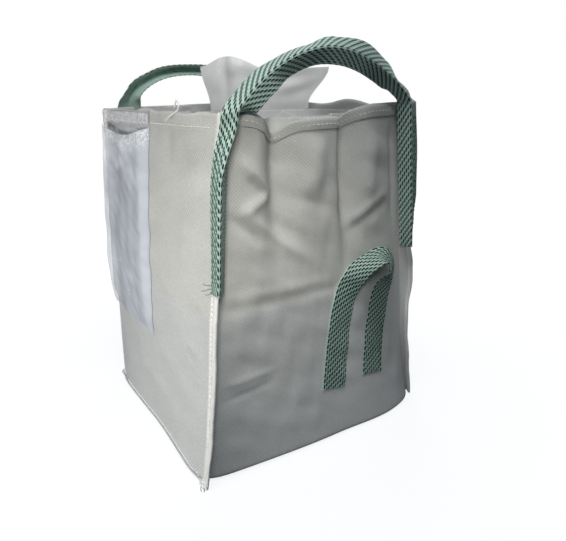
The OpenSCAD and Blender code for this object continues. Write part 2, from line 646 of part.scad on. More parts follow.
// The end of this thread stands up in a curl above the hem
module left_hem_thread() {
    tail_y = -72;
    tail_x = left_face(tail_y, bag_h) - cloth_t - lift - thread_d;
    color(thread_colour) {
        thread(side_hem_path(-1, -hem_reach, pouch_front - pouch_thread_room), [-1, 0, 0]);
        thread([for (k = [0 : 8]) [tail_x - clear, tail_y - tail_curl * sin(150 * k / 8),
            hem_thread_z + thread_tail * sin(150 * k / 8)]], [-1, 0, 0]);
    }
}

module right_hem_thread() {
    color(thread_colour) thread(side_hem_path(1, -hem_reach, hem_reach), [1, 0, 0]);
}

module pouch_thread() {
    color(thread_colour) thread([for (k = [0 : 8])
        let (y = lerp(pouch_front, pouch_back, lerp(0.03, 0.97, k / 8)))
        [left_face(y, hem_thread_z) - clear - cloth_t - film_t - lift, y, hem_thread_z]], [-1, 0, 0]);
}

// Two rows of stitches down each strap leg: on the outer half of a front leg, near both edges of a back leg
thread_ts = [for (k = [0 : 8]) lerp(1 - (sewn_len - thread_end) / bag_h, 1 - thread_end / bag_h, k / 8)];
function front_leg_thread(share) = [for (t = thread_ts)
    leg_fold(t) - share * strap_half * leg_way(t) + (strap_gap + strap_t + lift) * leg_side(t)];
function back_leg_thread(sx, share) = [for (t = thread_ts) let (x = sx * back_strap_x(t) + share * strap_w)
    [x, back_leg_y(x, t) + strap_t + lift + clear, t * bag_h]];

module strap_thread(sx, sy) {
    color(thread_colour) for (row = [0, 1])
        if (sy < 0)
            thread([for (p = front_leg_thread(0.25 + 0.5 * row)) flip(p, sx, sy)], flip(leg_side(1), sx, sy));
        else
            thread(back_leg_thread(sx, -0.3 + 0.6 * row), [0, 1, 0]);
}

module front_left_strap_thread() {
    strap_thread(-1, -1);
}

module front_right_strap_thread() {
    strap_thread(1, -1);
}

module back_left_strap_thread() {
    strap_thread(-1, 1);
}

module back_right_strap_thread() {
    strap_thread(1, 1);
}

// Two rows of stitches up each sewn end of the tipping loop
module tipping_thread(x) {
    color(thread_colour) for (share = [-0.32, 0.32])
        thread([for (k = [0 : 6])
            let (z = lerp(tip_z + thread_end, tip_top - thread_end, k / 6), px = x + share * strap_w)
            [px, front_face(px, z) - clear - strap_t - lift, z]], [0, -1, 0]);
}

module tipping_left_thread() {
    tipping_thread(tip_x - tip_spacing / 2);
}

module tipping_right_thread() {
    tipping_thread(tip_x + tip_spacing / 2);
}

u_panel();
left_side_panel();
right_side_panel();
front_loop();
front_loop_left_bend();
front_loop_right_bend();
front_strap_left_leg();
front_strap_right_leg();
back_loop();
back_loop_left_bend();
back_loop_right_bend();
back_strap_left_leg();
back_strap_right_leg();
tipping_loop();
tipping_left_bend();
tipping_right_bend();
tipping_left_end();
tipping_right_end();
pouch_header();
pouch_back_film();
pouch_front_film();
liner();
liner_flap();
front_left_seam_thread();
front_right_seam_thread();
back_left_seam_thread();
back_right_seam_thread();
left_base_seam_thread();
right_base_seam_thread();
front_hem_thread();
back_hem_thread();
left_hem_thread();
right_hem_thread();
front_left_strap_thread();
front_right_strap_thread();
back_left_strap_thread();
back_right_strap_thread();
tipping_left_thread();
tipping_right_thread();
pouch_thread();
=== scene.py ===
import math
from functools import partial

import bpy
import numpy as np
from mathutils import Matrix, Vector


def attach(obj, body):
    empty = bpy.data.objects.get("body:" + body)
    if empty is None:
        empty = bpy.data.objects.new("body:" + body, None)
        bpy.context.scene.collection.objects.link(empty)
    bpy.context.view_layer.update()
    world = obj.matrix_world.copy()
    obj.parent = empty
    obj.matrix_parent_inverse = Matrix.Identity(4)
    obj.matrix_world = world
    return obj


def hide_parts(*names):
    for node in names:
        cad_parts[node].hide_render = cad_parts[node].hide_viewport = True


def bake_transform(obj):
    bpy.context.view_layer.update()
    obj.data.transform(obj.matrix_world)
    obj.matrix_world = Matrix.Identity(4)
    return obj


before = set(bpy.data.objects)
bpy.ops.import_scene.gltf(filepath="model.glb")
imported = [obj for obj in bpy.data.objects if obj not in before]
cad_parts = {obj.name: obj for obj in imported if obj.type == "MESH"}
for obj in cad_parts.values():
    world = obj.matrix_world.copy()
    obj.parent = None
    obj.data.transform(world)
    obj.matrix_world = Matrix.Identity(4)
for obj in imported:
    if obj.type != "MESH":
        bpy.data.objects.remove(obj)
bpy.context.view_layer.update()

# Sizes in millimetres, as in the part's source
MM = 0.001
BAG_H = 600
BASE_W, BASE_D = 450, 448
RIM_W, RIM_D = 362, 462
FOOT_FLARE = 16
FOOT_BULGE = 14
NEAR_PULL, NEAR_PULL_LOW = 9, 0.4
NEAR_GROOVE, GROOVE_AT = 8, -0.86
BEND_R = 9
BASE_Z = 2.15
FOLD_DEPTH = 26
BELLY = 26
SIDE_BELLY = 6
FIN_W, BASE_FIN_W = 25, 6
FIN_LEAN, EAR_DROP, EAR_H = 16, 14, 60
NEAR_LEAN, NEAR_EAR_LEAN, NEAR_TURN = 4, 18, 44
BACK_LEAN, BACK_UPRIGHT, SIDE_TURN = -40, 2, 34
RIM_TUCK, NEAR_TUCK, FOOT_TUCK = 4, 15, 8
STRAP_W, STRAP_T = 50, 2
SEWN_LEN = 263
LOOP_RISE = {-1: 86, 1: 80}
BACK_STRAP_IN = 46
ARCH_TILT = 25
# Guide points of the loops, from a foot and back from the crown: left and right half, front and back loop
LOOP_SHOULDER = {(-1, -1): (10, 0, 14), (1, -1): (4, 0, 15), (-1, 1): (1, 0, 45), (1, 1): (1, 0, 45)}
LOOP_CREST = {(-1, -1): (90, 0, 9), (1, -1): (87, 0, -9), (-1, 1): (79, 0, 0), (1, 1): (79, 0, 0)}
TIP_X, TIP_SPACING, TIP_Z, TIP_SEWN = 80, 97, 98, 105
TIP_TOP, TIP_MIDDLE = TIP_Z + TIP_SEWN, TIP_Z + TIP_SEWN / 2
TIP_RISE, TIP_LEAN, TIP_BULGE, TIP_SLANT = 136, 4, 14, 0.17
# Share of a full turn away from the wall on the left and right limb, and share of the width it stands off
TIP_TURNS, TIP_STAND = (0.86, 0.45), 0.54
POUCH_W, POUCH_H, POUCH_TOP, POUCH_ROOM = 221, 395, 576, 2.3
POUCH_LOOSE, HEADER_OVER = 20, 8
MOUTH_EDGE, MOUTH_SAG, MOUTH_LIP = 3, 17, 2.5
POUCH_BULGE, POUCH_STAND = 9, 1.4
LINER_GAP, LINER_TOP, LINER_ROUND = 8, 588, 1720
FLAP_H, FLAP_W, FLAP_FLARE = 108, 214, 60
FLAP_SHIFT, FLAP_SLANT = 23, 13

# Thickness of cloth, film and thread as shown, length and pitch of stitches and the room between neighbours
CLOTH_T = 1.0
FILM_T = 0.5
THREAD_D, STITCH_LEN, STITCH_PITCH = 2.1, 6.5, 8.0
CLEAR = 0.35
FRONT_HEM, SIDE_HEM = 15, 24
HEM_GAP = 1.6
HEM_STAND = 1.8 * HEM_GAP
STITCH_LIFT = 0.4
# Rows of stitches, as shares of a seam's width and of a hem's height
SEAM_ROWS = (0.3, 0.42)
FRONT_HEM_ROW, SIDE_HEM_ROW = 0.75, 0.8
LOW_T = (BASE_Z + BEND_R) / BAG_H
EAR_TOP = LOW_T + EAR_H / BAG_H
MIRROR = np.array([-1, 1, 1])
# Shares of a wall past which its folds fade out towards its corners, and between which they fade at its foot
LONG_CALM, SIDE_CALM = 0.86, 0.9
FOOT_CALM = (0.02, 0.12)


# Small functions on arrays
def smooth(a, b, x):
    k = np.clip((np.asarray(x, float) - a) / (b - a), 0, 1)
    return k * k * (3 - 2 * k)


def lerp(a, b, k):
    return a + (b - a) * k


def bump(u, centre, width):
    return np.exp(-((u - centre) / width) ** 2)


def dent(u, centre, left, right):
    return np.exp(-((u - centre) / np.where(u < centre, left, right)) ** 2)


def unit(v):
    return v / np.linalg.norm(v, axis=-1, keepdims=True)


def xyz(x, y, z):
    return np.stack(np.broadcast_arrays(x, y, z), axis=-1).astype(float)


def bezier(a, b, c, d, s):
    return a * (1 - s) ** 3 + 3 * b * (1 - s) ** 2 * s + 3 * c * (1 - s) * s ** 2 + d * s ** 3


def ripple(a, b, seed, size, count=9):
    """Soft irregular waves over two lengths, about 1 high, with waves of about the given size"""
    draw = np.random.RandomState(seed)
    total = 0
    for _ in range(count):
        way = draw.uniform(0, 2 * math.pi)
        wave = 2 * math.pi / (size * draw.uniform(0.7, 1.6))
        total = total + np.sin(wave * (a * math.cos(way) + b * math.sin(way)) + draw.uniform(0, 6.28))
    return total / math.sqrt(count)


def ridge(x, z, start, end, width, height):
    """Long soft fold between two points of a wall, highest in its middle"""
    (x0, z0), (x1, z1) = start, end
    length = math.hypot(x1 - x0, z1 - z0)
    along = ((x - x0) * (x1 - x0) + (z - z0) * (z1 - z0)) / length ** 2
    across = ((x - x0) * (z1 - z0) - (z - z0) * (x1 - x0)) / length
    return height * np.exp(-(across / width) ** 2) * smooth(-0.2, 0.3, along) * (1 - smooth(0.7, 1.2, along))


# Shape of the walls: t runs from 0 at the floor to 1 at the rim, u and v from -1 to 1 across a wall
def corner_x(t, v=1):
    flare = FOOT_FLARE * np.maximum(-np.asarray(v, float), 0) ** 1.5 * np.maximum(1 - 2 * t, 0) ** 2
    return BASE_W / 2 - (BASE_W - RIM_W) / 2 * t ** 1.25 + flare


def corner_y(t):
    return BASE_D / 2 + (RIM_D - BASE_D) / 2 * t


def near_pull(t, w=-1):
    """How far the strap pulls the near corner to the right, fading along the walls beside it"""
    pull = lerp(NEAR_PULL_LOW * smooth(0.45, 0.6, t), 1, smooth(0.8, 1, t))
    return NEAR_PULL * pull * ((1 - np.asarray(w, float)) / 2) ** 4


def front_x(u, t):
    return corner_x(t, -1) * u + near_pull(t, u)


def rim_fade(t):
    """0 on the lower half of a wall and 1 at its rim"""
    return smooth(0.48, 1, t)


def belly_fade(t):
    """1 at the floor and 0 at the rim"""
    return np.maximum(1 - t, 0) ** 1.4


def foot_fade(t):
    """1 at the floor and 0 above the lowest third"""
    return np.maximum(1 - 3 * t, 0) ** 2


NEAR_FOLD, FAR_FOLD = -0.38, 0.30


def front_fold(u):
    """Folds along the front rim, as a share of their depth; it falls in at two places"""
    return 0.5 * (1 - u * u) - 1.3 * dent(u, NEAR_FOLD, 0.13, 0.2) - 1.15 * dent(u, FAR_FOLD, 0.06, 0.2)


def back_fold(u):
    return 0.4 * (1 - u * u) - 0.9 * bump(u, -0.18, 0.17) - 0.8 * bump(u, 0.28, 0.13)


def front_drop(u):
    """How far the front rim hangs below the corners"""
    sag = 15 * smooth(-0.75, -0.42, u) * (1 - smooth(0.25, 0.66, u))
    return sag + 21 * bump(u, NEAR_FOLD, 0.14) + 7 * bump(u, FAR_FOLD + 0.01, 0.1)


# Folds of the front wall: start and end in mm across and up, width and height of the fold
FRONT_FOLDS = [
    ((-150, 535), (-88, 486), 10, 4.5),
    ((-142, 448), (-88, 484), 9, 4.5),
    ((-128, 505), (-100, 478), 9, -4.0),
    ((-128, 446), (-28, 362), 9, 4.5),
    ((-92, 452), (-8, 372), 11, -2.5),
    ((-165, 452), (-112, 400), 9, -4.0),
    ((166, 560), (182, 380), 7, -4.0),
    ((70, 388), (150, 428), 11, -3.0),
    ((78, 404), (156, 446), 12, 4.0),
    ((-5, 560), (-12, 470), 20, 6.0),
    ((-40, 470), (30, 440), 12, -3.0),
    ((112, 560), (118, 430), 22, 6.0),
    ((56, 560), (66, 400), 9, -4.0),
    ((-190, 296), (190, 290), 9, -1.6),
    ((-180, 316), (20, 312), 10, 2.2),
    ((-186, 168), (-90, 172), 6, 1.8),
    ((-188, 140), (-100, 150), 6, -1.8),
]


def front_wrinkles(u, t):
    x, z = corner_x(t) * u, t * BAG_H
    total = sum(ridge(x, z, *fold) for fold in FRONT_FOLDS)
    total = total + 0.7 * ripple(x, 1.6 * z, 3, 85) + 0.35 * ripple(x, z, 4, 34)
    return total * smooth(1, LONG_CALM, np.abs(u)) * smooth(*FOOT_CALM, t)


def back_wrinkles(u, t):
    x, z = corner_x(t) * u, t * BAG_H
    total = 1.0 * ripple(x, 1.4 * z, 11, 90) + 0.4 * ripple(x, z, 12, 36)
    total = total + ridge(x, z, (-120, 470), (-20, 380), 13, 4) + ridge(x, z, (140, 500), (60, 400), 14, 4)
    return total * smooth(1, LONG_CALM, np.abs(u)) * smooth(*FOOT_CALM, t)


def front_out(u, t):
    belly = BELLY * (1 - u * u) * (1 + 0.5 * u) * belly_fade(t)
    foot = FOOT_BULGE * (1 + smooth(0.1, 0.7, u)) * (1 - u ** 16)
    belly = belly + foot * foot_fade(t)
    groove = NEAR_GROOVE * dent(u, GROOVE_AT, 0.1, 0.16) * smooth(0.42, 0.6, t)
    return corner_y(t) + belly - groove + FOLD_DEPTH * front_fold(u) * rim_fade(t) + front_wrinkles(u, t)


def back_out(u, t):
    belly = 0.6 * BELLY * (1 - u * u) * belly_fade(t)
    return corner_y(t) + belly + FOLD_DEPTH * back_fold(u) * rim_fade(t) + back_wrinkles(u, t)


# Folds of both side walls, in the same way, and the seed of each wall's small waves
SIDE_SEED = {-1: 21, 1: 41}
SIDE_FOLDS = [
    ((-228, 552), (-40, 468), 15, -6.0),
    ((-225, 505), (-100, 430), 14, 4.0),
    ((-215, 215), (-150, 225), 6, 1.4),
    ((-215, 195), (-160, 200), 6, -1.4),
    ((-214, 170), (-165, 168), 6, 1.2),
    ((-210, 288), (210, 284), 10, -1.2),
    ((60, 120), (170, 60), 18, 2.0),
]


def side_wrinkles(v, t, sx):
    seed = SIDE_SEED[sx]
    y, z = corner_y(t) * v, t * BAG_H
    total = sum(ridge(y, z, *fold) for fold in SIDE_FOLDS)
    total = total + 0.8 * ripple(y, 1.5 * z, seed, 95) + 0.3 * ripple(y, z, seed + 1, 32)
    total = total + 1.2 * rim_fade(t) ** 3 * ripple(y, 0.3 * z, seed + 2, 60)
    return total * smooth(1, SIDE_CALM, np.abs(v)) * smooth(*FOOT_CALM, t)


def side_out(v, t, sx):
    belly = SIDE_BELLY * (1 - v * v) * np.sin(math.pi * t)
    belly = belly + 0.6 * FOOT_BULGE * (1 - v ** 8) * foot_fade(t)
    pull = near_pull(t, v) if sx < 0 else 0
    return corner_x(t, v) + belly - pull + side_wrinkles(v, t, sx)


def at_ear(t):
    """1 at the base corners, where the seams hang down in an ear, and 0 above it"""
    return 1 - smooth(LOW_T, EAR_TOP, t)


def seam_lean(t, sx, sy):
    """How far a corner seam leans outwards, in radians. At the rim the near one leans over the front wall
    with its strap; the front right one stands out to the side below its strap, and the back ones fall behind
    the bag near the floor."""
    below_strap = 1 - smooth(0.48, 0.57, t)
    if sy > 0:
        lean = lerp(BACK_LEAN, BACK_UPRIGHT, smooth(0.27, 0.37, t))
        lean = lean + (FIN_LEAN - BACK_UPRIGHT) * smooth(0.9, 1, t)
    elif sx < 0:
        lean = lerp(NEAR_EAR_LEAN, NEAR_LEAN, smooth(LOW_T, 0.15, t)) - NEAR_TURN * smooth(0.84, 1, t)
    else:
        lean = lerp(NEAR_LEAN, FIN_LEAN, smooth(0.2, 0.4, t)) + SIDE_TURN * smooth(0.3, 0.45, t) * below_strap
    return np.radians(lean)


def seam_width(t, sx, sy):
    """Width of a corner seam as it shows; it is tucked in at the rim, more so under the near strap, and
    near the floor on the right"""
    tuck = RIM_TUCK * smooth(0.93, 0.97, t)
    if (sx, sy) == (-1, -1):
        tuck = NEAR_TUCK * smooth(0.86, 0.93, t)
    elif (sx, sy) == (1, -1):
        tuck = tuck + FOOT_TUCK * (1 - smooth(0.35, 0.45, t))
    return FIN_W - tuck


# Meshes
def deselect():
    bpy.ops.object.select_all(action="DESELECT")


def select_only(obj):
    deselect()
    obj.select_set(True)
    bpy.context.view_layer.objects.active = obj


def sheet_from(name, points, across, along):
    """A grid primitive with its vertices moved to rows of points in mm, UV in metres along the cloth"""
    rows, cols = points.shape[:2]
    deselect()
    bpy.ops.mesh.primitive_grid_add(x_subdivisions=cols - 1, y_subdivisions=rows - 1, size=1, calc_uvs=True)
    obj = bpy.context.object
    obj.name = obj.data.name = name
    mesh = obj.data
    flat = np.empty(len(mesh.vertices) * 3)
    mesh.vertices.foreach_get("co", flat)
    flat = flat.reshape(-1, 3)
    col = np.rint((flat[:, 0] + 0.5) * (cols - 1)).astype(int)
    row = np.rint((flat[:, 1] + 0.5) * (rows - 1)).astype(int)
    mesh.vertices.foreach_set("co", (points[row, col] * MM).ravel())
    corner = np.empty(len(mesh.loops), dtype=int)
    mesh.loops.foreach_get("vertex_index", corner)
    uv = np.stack(np.broadcast_arrays(across, along), axis=-1)[row, col][corner] * MM
    mesh.uv_layers.active.data.foreach_set("uv", uv.ravel())
    mesh.update()
    return obj


def join(first, *others):
    deselect()
    for obj in (first, *others):
        obj.select_set(True)
    bpy.context.view_layer.objects.active = first
    bpy.ops.object.join()
    return first


def finish_sheet(obj, thickness, materials, offset=-1):
    """Gives a sheet its materials, the second one for its reverse, its thickness and smooth shading"""
    select_only(obj)
    obj.data.materials.clear()
    for material in materials:
        obj.data.materials.append(material)
    wall = obj.modifiers.new("thickness", "SOLIDIFY")
    wall.thickness = thickness * MM
    wall.offset = offset
    wall.material_offset = len(materials) - 1
    bpy.ops.object.modifier_apply(modifier=wall.name)
    bpy.ops.object.shade_smooth_by_angle(angle=math.radians(50))
    return obj


def grid_normals(points):
    return unit(np.cross(np.gradient(points, axis=1), np.gradient(points, axis=0)))


def run(points):
    """Length along a row of points, from its start"""
    steps = np.linalg.norm(np.diff(points, axis=0), axis=1)
    return np.concatenate([[0], np.cumsum(steps)])


def place(obj, body=None, nodes=()):
    """Hides the solids that a piece stands for and attaches it to the body that it moves with"""
    if nodes:
        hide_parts(*nodes)
    if body:
        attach(obj, body)
    return obj


# Materials
def colour(text):
    """Linear colour of an sRGB hex value"""
    parts = [int(text[k:k + 2], 16) / 255 for k in (1, 3, 5)]
    return [c / 12.92 if c <= 0.04045 else ((c + 0.055) / 1.055) ** 2.4 for c in parts] + [1]


def add_node(tree, kind, inputs=(), **settings):
    new = tree.nodes.new("ShaderNode" + kind)
    for name, value in settings.items():
        setattr(new, name, value)
    for key, value in dict(inputs).items():
        if isinstance(value, bpy.types.NodeSocket):
            tree.links.new(value, new.inputs[key])
        else:
            new.inputs[key].default_value = value
    return new.outputs


def empty_tree(owner):
    """Clears the nodes of a material or world and returns the function that adds nodes to it"""
    owner.use_nodes = True
    owner.node_tree.nodes.clear()
    return partial(add_node, owner.node_tree)


def new_material(name):
    material = bpy.data.materials.new(name)
    return material, empty_tree(material)


def woven_polypropylene(name, contrast, seam, whiter):
    """White woven polypropylene: flat tapes crossing one over one, matt with a faint sheen of plastic.
    Real tapes are about 2 mm wide; they are drawn 3 mm wide so that the weave shows. Further than the given
    mm from its middle the cloth is a seam of several layers, and so it is whiter. Above the fold line
    across the bag it is a little warmer."""
    material, node = new_material(name)
    tape = 3.0 * MM
    blotch = 90.9 * MM
    fold_line = 0.285
    uv = node("UVMap", uv_map="UVMap")[0]
    axes = node("SeparateXYZ", {0: uv})
    turns = [node("Math", {0: axis, 1: math.pi / tape}, operation="MULTIPLY")[0]
             for axis in (axes[0], axes[1])]
    waves = [node("Math", {0: turn}, operation="SINE")[0] for turn in turns]
    rounds = [node("Math", {0: wave}, operation="ABSOLUTE")[0] for wave in waves]
    over = node("TexChecker", {"Vector": uv, "Scale": 1 / tape})[1]
    weave = node("Mix", {0: over, 2: rounds[0], 3: rounds[1]}, data_type="FLOAT")[0]
    speckle = node("TexNoise", {"Vector": uv, "Scale": 0.5 / tape, "Detail": 2})[0]
    cloud = node("TexNoise", {"Vector": uv, "Scale": 1 / blotch, "Detail": 3})[0]
    # The contrast sets how strongly the weave's light and dark shows in the colour. This is painted light:
    # strong where light grazes the side panels, faint on the shaded front wall
    shade = node("Math", {0: over, 1: 0.3 * contrast}, operation="MULTIPLY")[0]
    for part, share in ((weave, 0.2 * contrast), (speckle, 0.4 * contrast), (cloud, 0.35)):
        shade = node("Math", {0: part, 1: share, 2: shade}, operation="MULTIPLY_ADD")[0]
    darkest, palest = 0.05 + 0.35 * contrast, 0.3 + 0.65 * contrast
    tint = node("MapRange", {0: shade, 1: darkest, 2: palest})[0]
    height = node("SeparateXYZ", {0: node("TexCoord")["Object"]})[2]
    upper = node("MapRange", {0: height, 1: fold_line - 0.004, 2: fold_line + 0.012})[0]
    low, high = (node("Mix", {0: tint, 6: colour(dark), 7: colour(pale)}, data_type="RGBA")[2]
                 for dark, pale in (("#B8BABA", "#DADBDA"), ("#BDBDB9", "#DEDDD9")))
    base = node("Mix", {0: upper, 6: low, 7: high}, data_type="RGBA")[2]
    reach = node("Math", {0: axes[0]}, operation="ABSOLUTE")[0]
    edge = node("MapRange", {0: reach, 1: seam * MM, 2: (seam + 6) * MM, 4: whiter})[0]
    base = node("Mix", {0: edge, 6: base, 7: colour("#F4F3F0")}, data_type="RGBA")[2]
    relief = node("Bump", {"Height": weave, "Strength": 0.45 * contrast, "Distance": 0.6 * MM})[0]
    shader = node("BsdfPrincipled", {
        "Base Color": base, "Roughness": 0.6, "Specular IOR Level": 0.25, "Normal": relief})[0]
    node("OutputMaterial", {"Surface": shader})
    return material


def dotted_webbing(name, herringbone):
    """Polypropylene webbing: mint ribs on a slant with rows of black marker picks between them.
    With a herringbone the ribs meet along the middle of the strap."""
    material, node = new_material(name)
    row_pitch = 12.5 * MM if herringbone else 11 * MM
    pick_pitch = 3.8 * MM if herringbone else 5.2 * MM
    row_slant = -1.5 if herringbone else -0.8
    row_share = 0.3 if herringbone else 0.35
    yarn = 1.111 * MM
    uv = node("UVMap", uv_map="UVMap")[0]
    axes = node("SeparateXYZ", {0: uv})
    slant = axes[0]
    if herringbone:
        middle = node("Math", {0: slant, 1: STRAP_W / 2 * MM}, operation="SUBTRACT")[0]
        slant = node("Math", {0: middle}, operation="ABSOLUTE")[0]
    line = node("Math", {0: slant, 1: row_slant, 2: axes[1]}, operation="MULTIPLY_ADD")[0]
    turn = node("Math", {0: line, 1: 1 / row_pitch}, operation="MULTIPLY")[0]
    row = node("Math", {0: turn}, operation="FRACT")[0]
    pick = node("Math", {0: slant, 1: 1 / pick_pitch}, operation="MULTIPLY")[0]
    pick = node("Math", {0: pick}, operation="FRACT")[0]
    in_row = node("Math", {0: row, 1: 0.38, 2: row_share}, operation="COMPARE")[0]
    in_pick = node("Math", {0: pick, 1: 0.5, 2: 0.38}, operation="COMPARE")[0]
    dark = node("Math", {0: in_row, 1: in_pick}, operation="MULTIPLY")[0]
    rib = node("Math", {0: row, 1: 4 * math.pi}, operation="MULTIPLY")[0]
    rib = node("Math", {0: rib}, operation="SINE")[0]
    lit = node("MapRange", {0: rib, 1: -1.0, 2: 1.0})[0]
    ground = node("Mix", {0: lit, 6: colour("#94B6A9"), 7: colour("#D3E5DD")}, data_type="RGBA")[2]
    base = node("Mix", {0: dark, 6: ground, 7: colour("#06201A")}, data_type="RGBA")[2]
    thread = node("TexNoise", {"Vector": uv, "Scale": 1 / yarn, "Detail": 1})[0]
    height = node("Math", {0: rib, 1: 0.4, 2: thread}, operation="MULTIPLY_ADD")[0]
    relief = node("Bump", {"Height": height, "Strength": 0.45, "Distance": 0.6 * MM})[0]
    shader = node("BsdfPrincipled", {
        "Base Color": base, "Roughness": 0.62, "Specular IOR Level": 0.3, "Normal": relief})[0]
    node("OutputMaterial", {"Surface": shader})
    return material


def webbing_reverse():
    """Reverse of the webbing: plain grey-green ribs, with the marker picks showing through only faintly"""
    material, node = new_material("webbing_reverse")
    rib_pitch = 4.0 * MM
    blotch = 16.67 * MM
    uv = node("UVMap", uv_map="UVMap")[0]
    axes = node("SeparateXYZ", {0: uv})
    line = node("Math", {0: axes[0], 1: 0.8, 2: axes[1]}, operation="MULTIPLY_ADD")[0]
    turn = node("Math", {0: line, 1: 2 * math.pi / rib_pitch}, operation="MULTIPLY")[0]
    rib = node("Math", {0: turn}, operation="SINE")[0]
    cloud = node("TexNoise", {"Vector": uv, "Scale": 1 / blotch, "Detail": 3})[0]
    mixed = node("Math", {0: rib, 1: 0.25, 2: cloud}, operation="MULTIPLY_ADD")[0]
    base = node("Mix", {0: mixed, 6: colour("#86A698"), 7: colour("#BCD3C8")}, data_type="RGBA")[2]
    relief = node("Bump", {"Height": rib, "Strength": 0.4, "Distance": 0.5 * MM})[0]
    shader = node("BsdfPrincipled", {
        "Base Color": base, "Roughness": 0.65, "Specular IOR Level": 0.25, "Normal": relief})[0]
    node("OutputMaterial", {"Surface": shader})
    return material


def clear_film(name, cover, tint, gloss, mouth):
    """Thin polythene film: smooth and glossy, a little milky, with a few creases painted white as glints,
    partly the real whitening of creased film.
    Along its mouth it is crumpled, with white streaks painted there as glare, less and less down to the given
    depth in mm."""
    material, node = new_material(name)
    wave = 90 * MM
    crinkle = 9 * MM
    deepest = mouth * MM
    uv = node("UVMap", uv_map="UVMap")[0]
    depth = node("SeparateXYZ", {0: uv})[1]
    soft = node("TexNoise", {"Vector": uv, "Scale": 1 / wave, "Detail": 2, "Distortion": 0.6})[0]
    cells = node("TexVoronoi", {"Vector": uv, "Scale": 1 / (0.5 * wave)}, feature="DISTANCE_TO_EDGE")[0]
    crease_glint = node("MapRange", {0: cells, 1: 0.0, 2: 0.03, 3: 1.0, 4: 0.0})[0]
    broken = node("MapRange", {0: soft, 1: 0.58, 2: 0.68})[0]
    crease_glint = node("Math", {0: crease_glint, 1: broken}, operation="MULTIPLY")[0]
    fine = node("TexNoise", {"Vector": uv, "Scale": 1 / crinkle, "Detail": 2, "Distortion": 2.5})[0]
    streak = node("MapRange", {0: fine, 1: 0.42, 2: 0.58})[0]
    edge = node("MapRange", {0: depth, 1: 0.3 * deepest, 2: deepest, 3: 1.0, 4: 0.0})[0]
    crumple_glare = node("Math", {0: streak, 1: edge}, operation="MULTIPLY")[0]
    # White on the creases and along the mouth is painted glints and glare, and it also makes the film more
    # opaque there
    white = node("Math", {0: crease_glint, 1: crumple_glare}, operation="MAXIMUM")[0]
    haze = node("MapRange", {0: soft, 1: 0.35, 2: 0.75, 3: cover - 0.06, 4: cover + 0.1})[0]
    haze = node("Math", {0: white, 1: 0.5, 2: haze}, operation="MULTIPLY_ADD")[0]
    base = node("Mix", {0: white, 6: colour(tint), 7: colour("#F7F8FA")}, data_type="RGBA")[2]
    swell = node("Math", {0: white, 1: 0.2, 2: soft}, operation="MULTIPLY_ADD")[0]
    relief = node("Bump", {"Height": swell, "Strength": 0.22, "Distance": 3 * MM})[0]
    shader = node("BsdfPrincipled", {
        "Base Color": base, "Roughness": gloss, "IOR": 1.5, "Specular IOR Level": 0.5,
        "Alpha": haze, "Normal": relief})[0]
    node("OutputMaterial", {"Surface": shader})
    return material


def sewing_thread(name, dark, pale):
    """Spun polyester thread: matt, with the twist of its strands"""
    material, node = new_material(name)
    space = node("TexCoord")["Object"]
    strand = 0.8 * MM
    strands = node("TexNoise", {"Vector": space, "Scale": 1 / strand, "Detail": 2})[0]
    base = node("Mix", {0: strands, 6: colour(dark), 7: colour(pale)}, data_type="RGBA")[2]
    relief = node("Bump", {"Height": strands, "Strength": 0.4, "Distance": 0.3 * MM})[0]
    shader = node("BsdfPrincipled", {
        "Base Color": base, "Roughness": 0.8, "Specular IOR Level": 0.2, "Normal": relief})[0]
    node("OutputMaterial", {"Surface": shader})
    return material


# Lit and shaded copies of one cloth: the weave's painted light and dark is strong on the side panels and
# faint on the front, base and back
FRONT_CLOTH = woven_polypropylene("woven_polypropylene", 0.5, BASE_W / 2, 0.1)
SIDE_CLOTH_PAINTED_LIGHT = woven_polypropylene("polypropylene_painted_grazing_light", 1.5, RIM_D / 2, 0.7)
LIFT_WEBBING = dotted_webbing("herringbone_webbing", True)
TIP_WEBBING = dotted_webbing("twill_webbing", False)
PLAIN_WEBBING = webbing_reverse()
POUCH_FILM = clear_film("pouch_film", 0.66, "#EDF2FD", 0.2, 38)
# The header's painted glare reaches far down from its top, painting light over the part that lies in the
# front film's shadow
HEADER_FILM = clear_film("pouch_header_film", 0.34, "#EEF2FA", 0.2, 165)
FILM_REVERSE = clear_film("film_reverse", 0.06, "#F1F4FC", 0.2, 0.5)
LINER_FILM = clear_film("liner_film", 0.85, "#F0F0ED", 0.4, 4)
WHITE_THREAD = sewing_thread("white_thread", "#EEECE6", "#FFFFFD")
GREEN_THREAD = sewing_thread("green_thread", "#29483F", "#86A79A")


# Cloth panels
WALL_ROWS, ARC_ROWS, BASE_ROWS = 120, 7, 14
FIN_COLS = 7
# Seam edge of a side panel from its root outwards, round the edge and back on the other side:
# share of the seam's width and lift off its middle plane in mm
ROLLED_EDGE = ((0.08, 2.2), (0.16, 2.0), (0.26, 0.9), (0.36, 0.5), (0.46, 1.0), (0.56, 2.6), (0.68, 3.6),
               (0.80, 3.8), (0.92, 3.2), (1.00, 1.8), (1.03, 0.0), (1.00, -1.7), (0.90, -2.6), (0.76, -2.7),
               (0.66, -2.0))
# The edge of the long cloth inside that roll, in the same two measures
CORE_REACH, CORE_LIFT = 0.97, -0.6


def wall_levels():
    """Height share, turn of the base fold and inset for each row from the rim to the base"""
    wall = np.linspace(1, LOW_T, WALL_ROWS)
    turn = np.linspace(0, math.pi / 2, ARC_ROWS + 1)[1:]
    z = np.concatenate([wall * BAG_H, BASE_Z + BEND_R * (1 - np.sin(turn))])
    turns = np.concatenate([np.zeros(WALL_ROWS), turn])
    return z, turns, BEND_R * (1 - np.cos(turns))


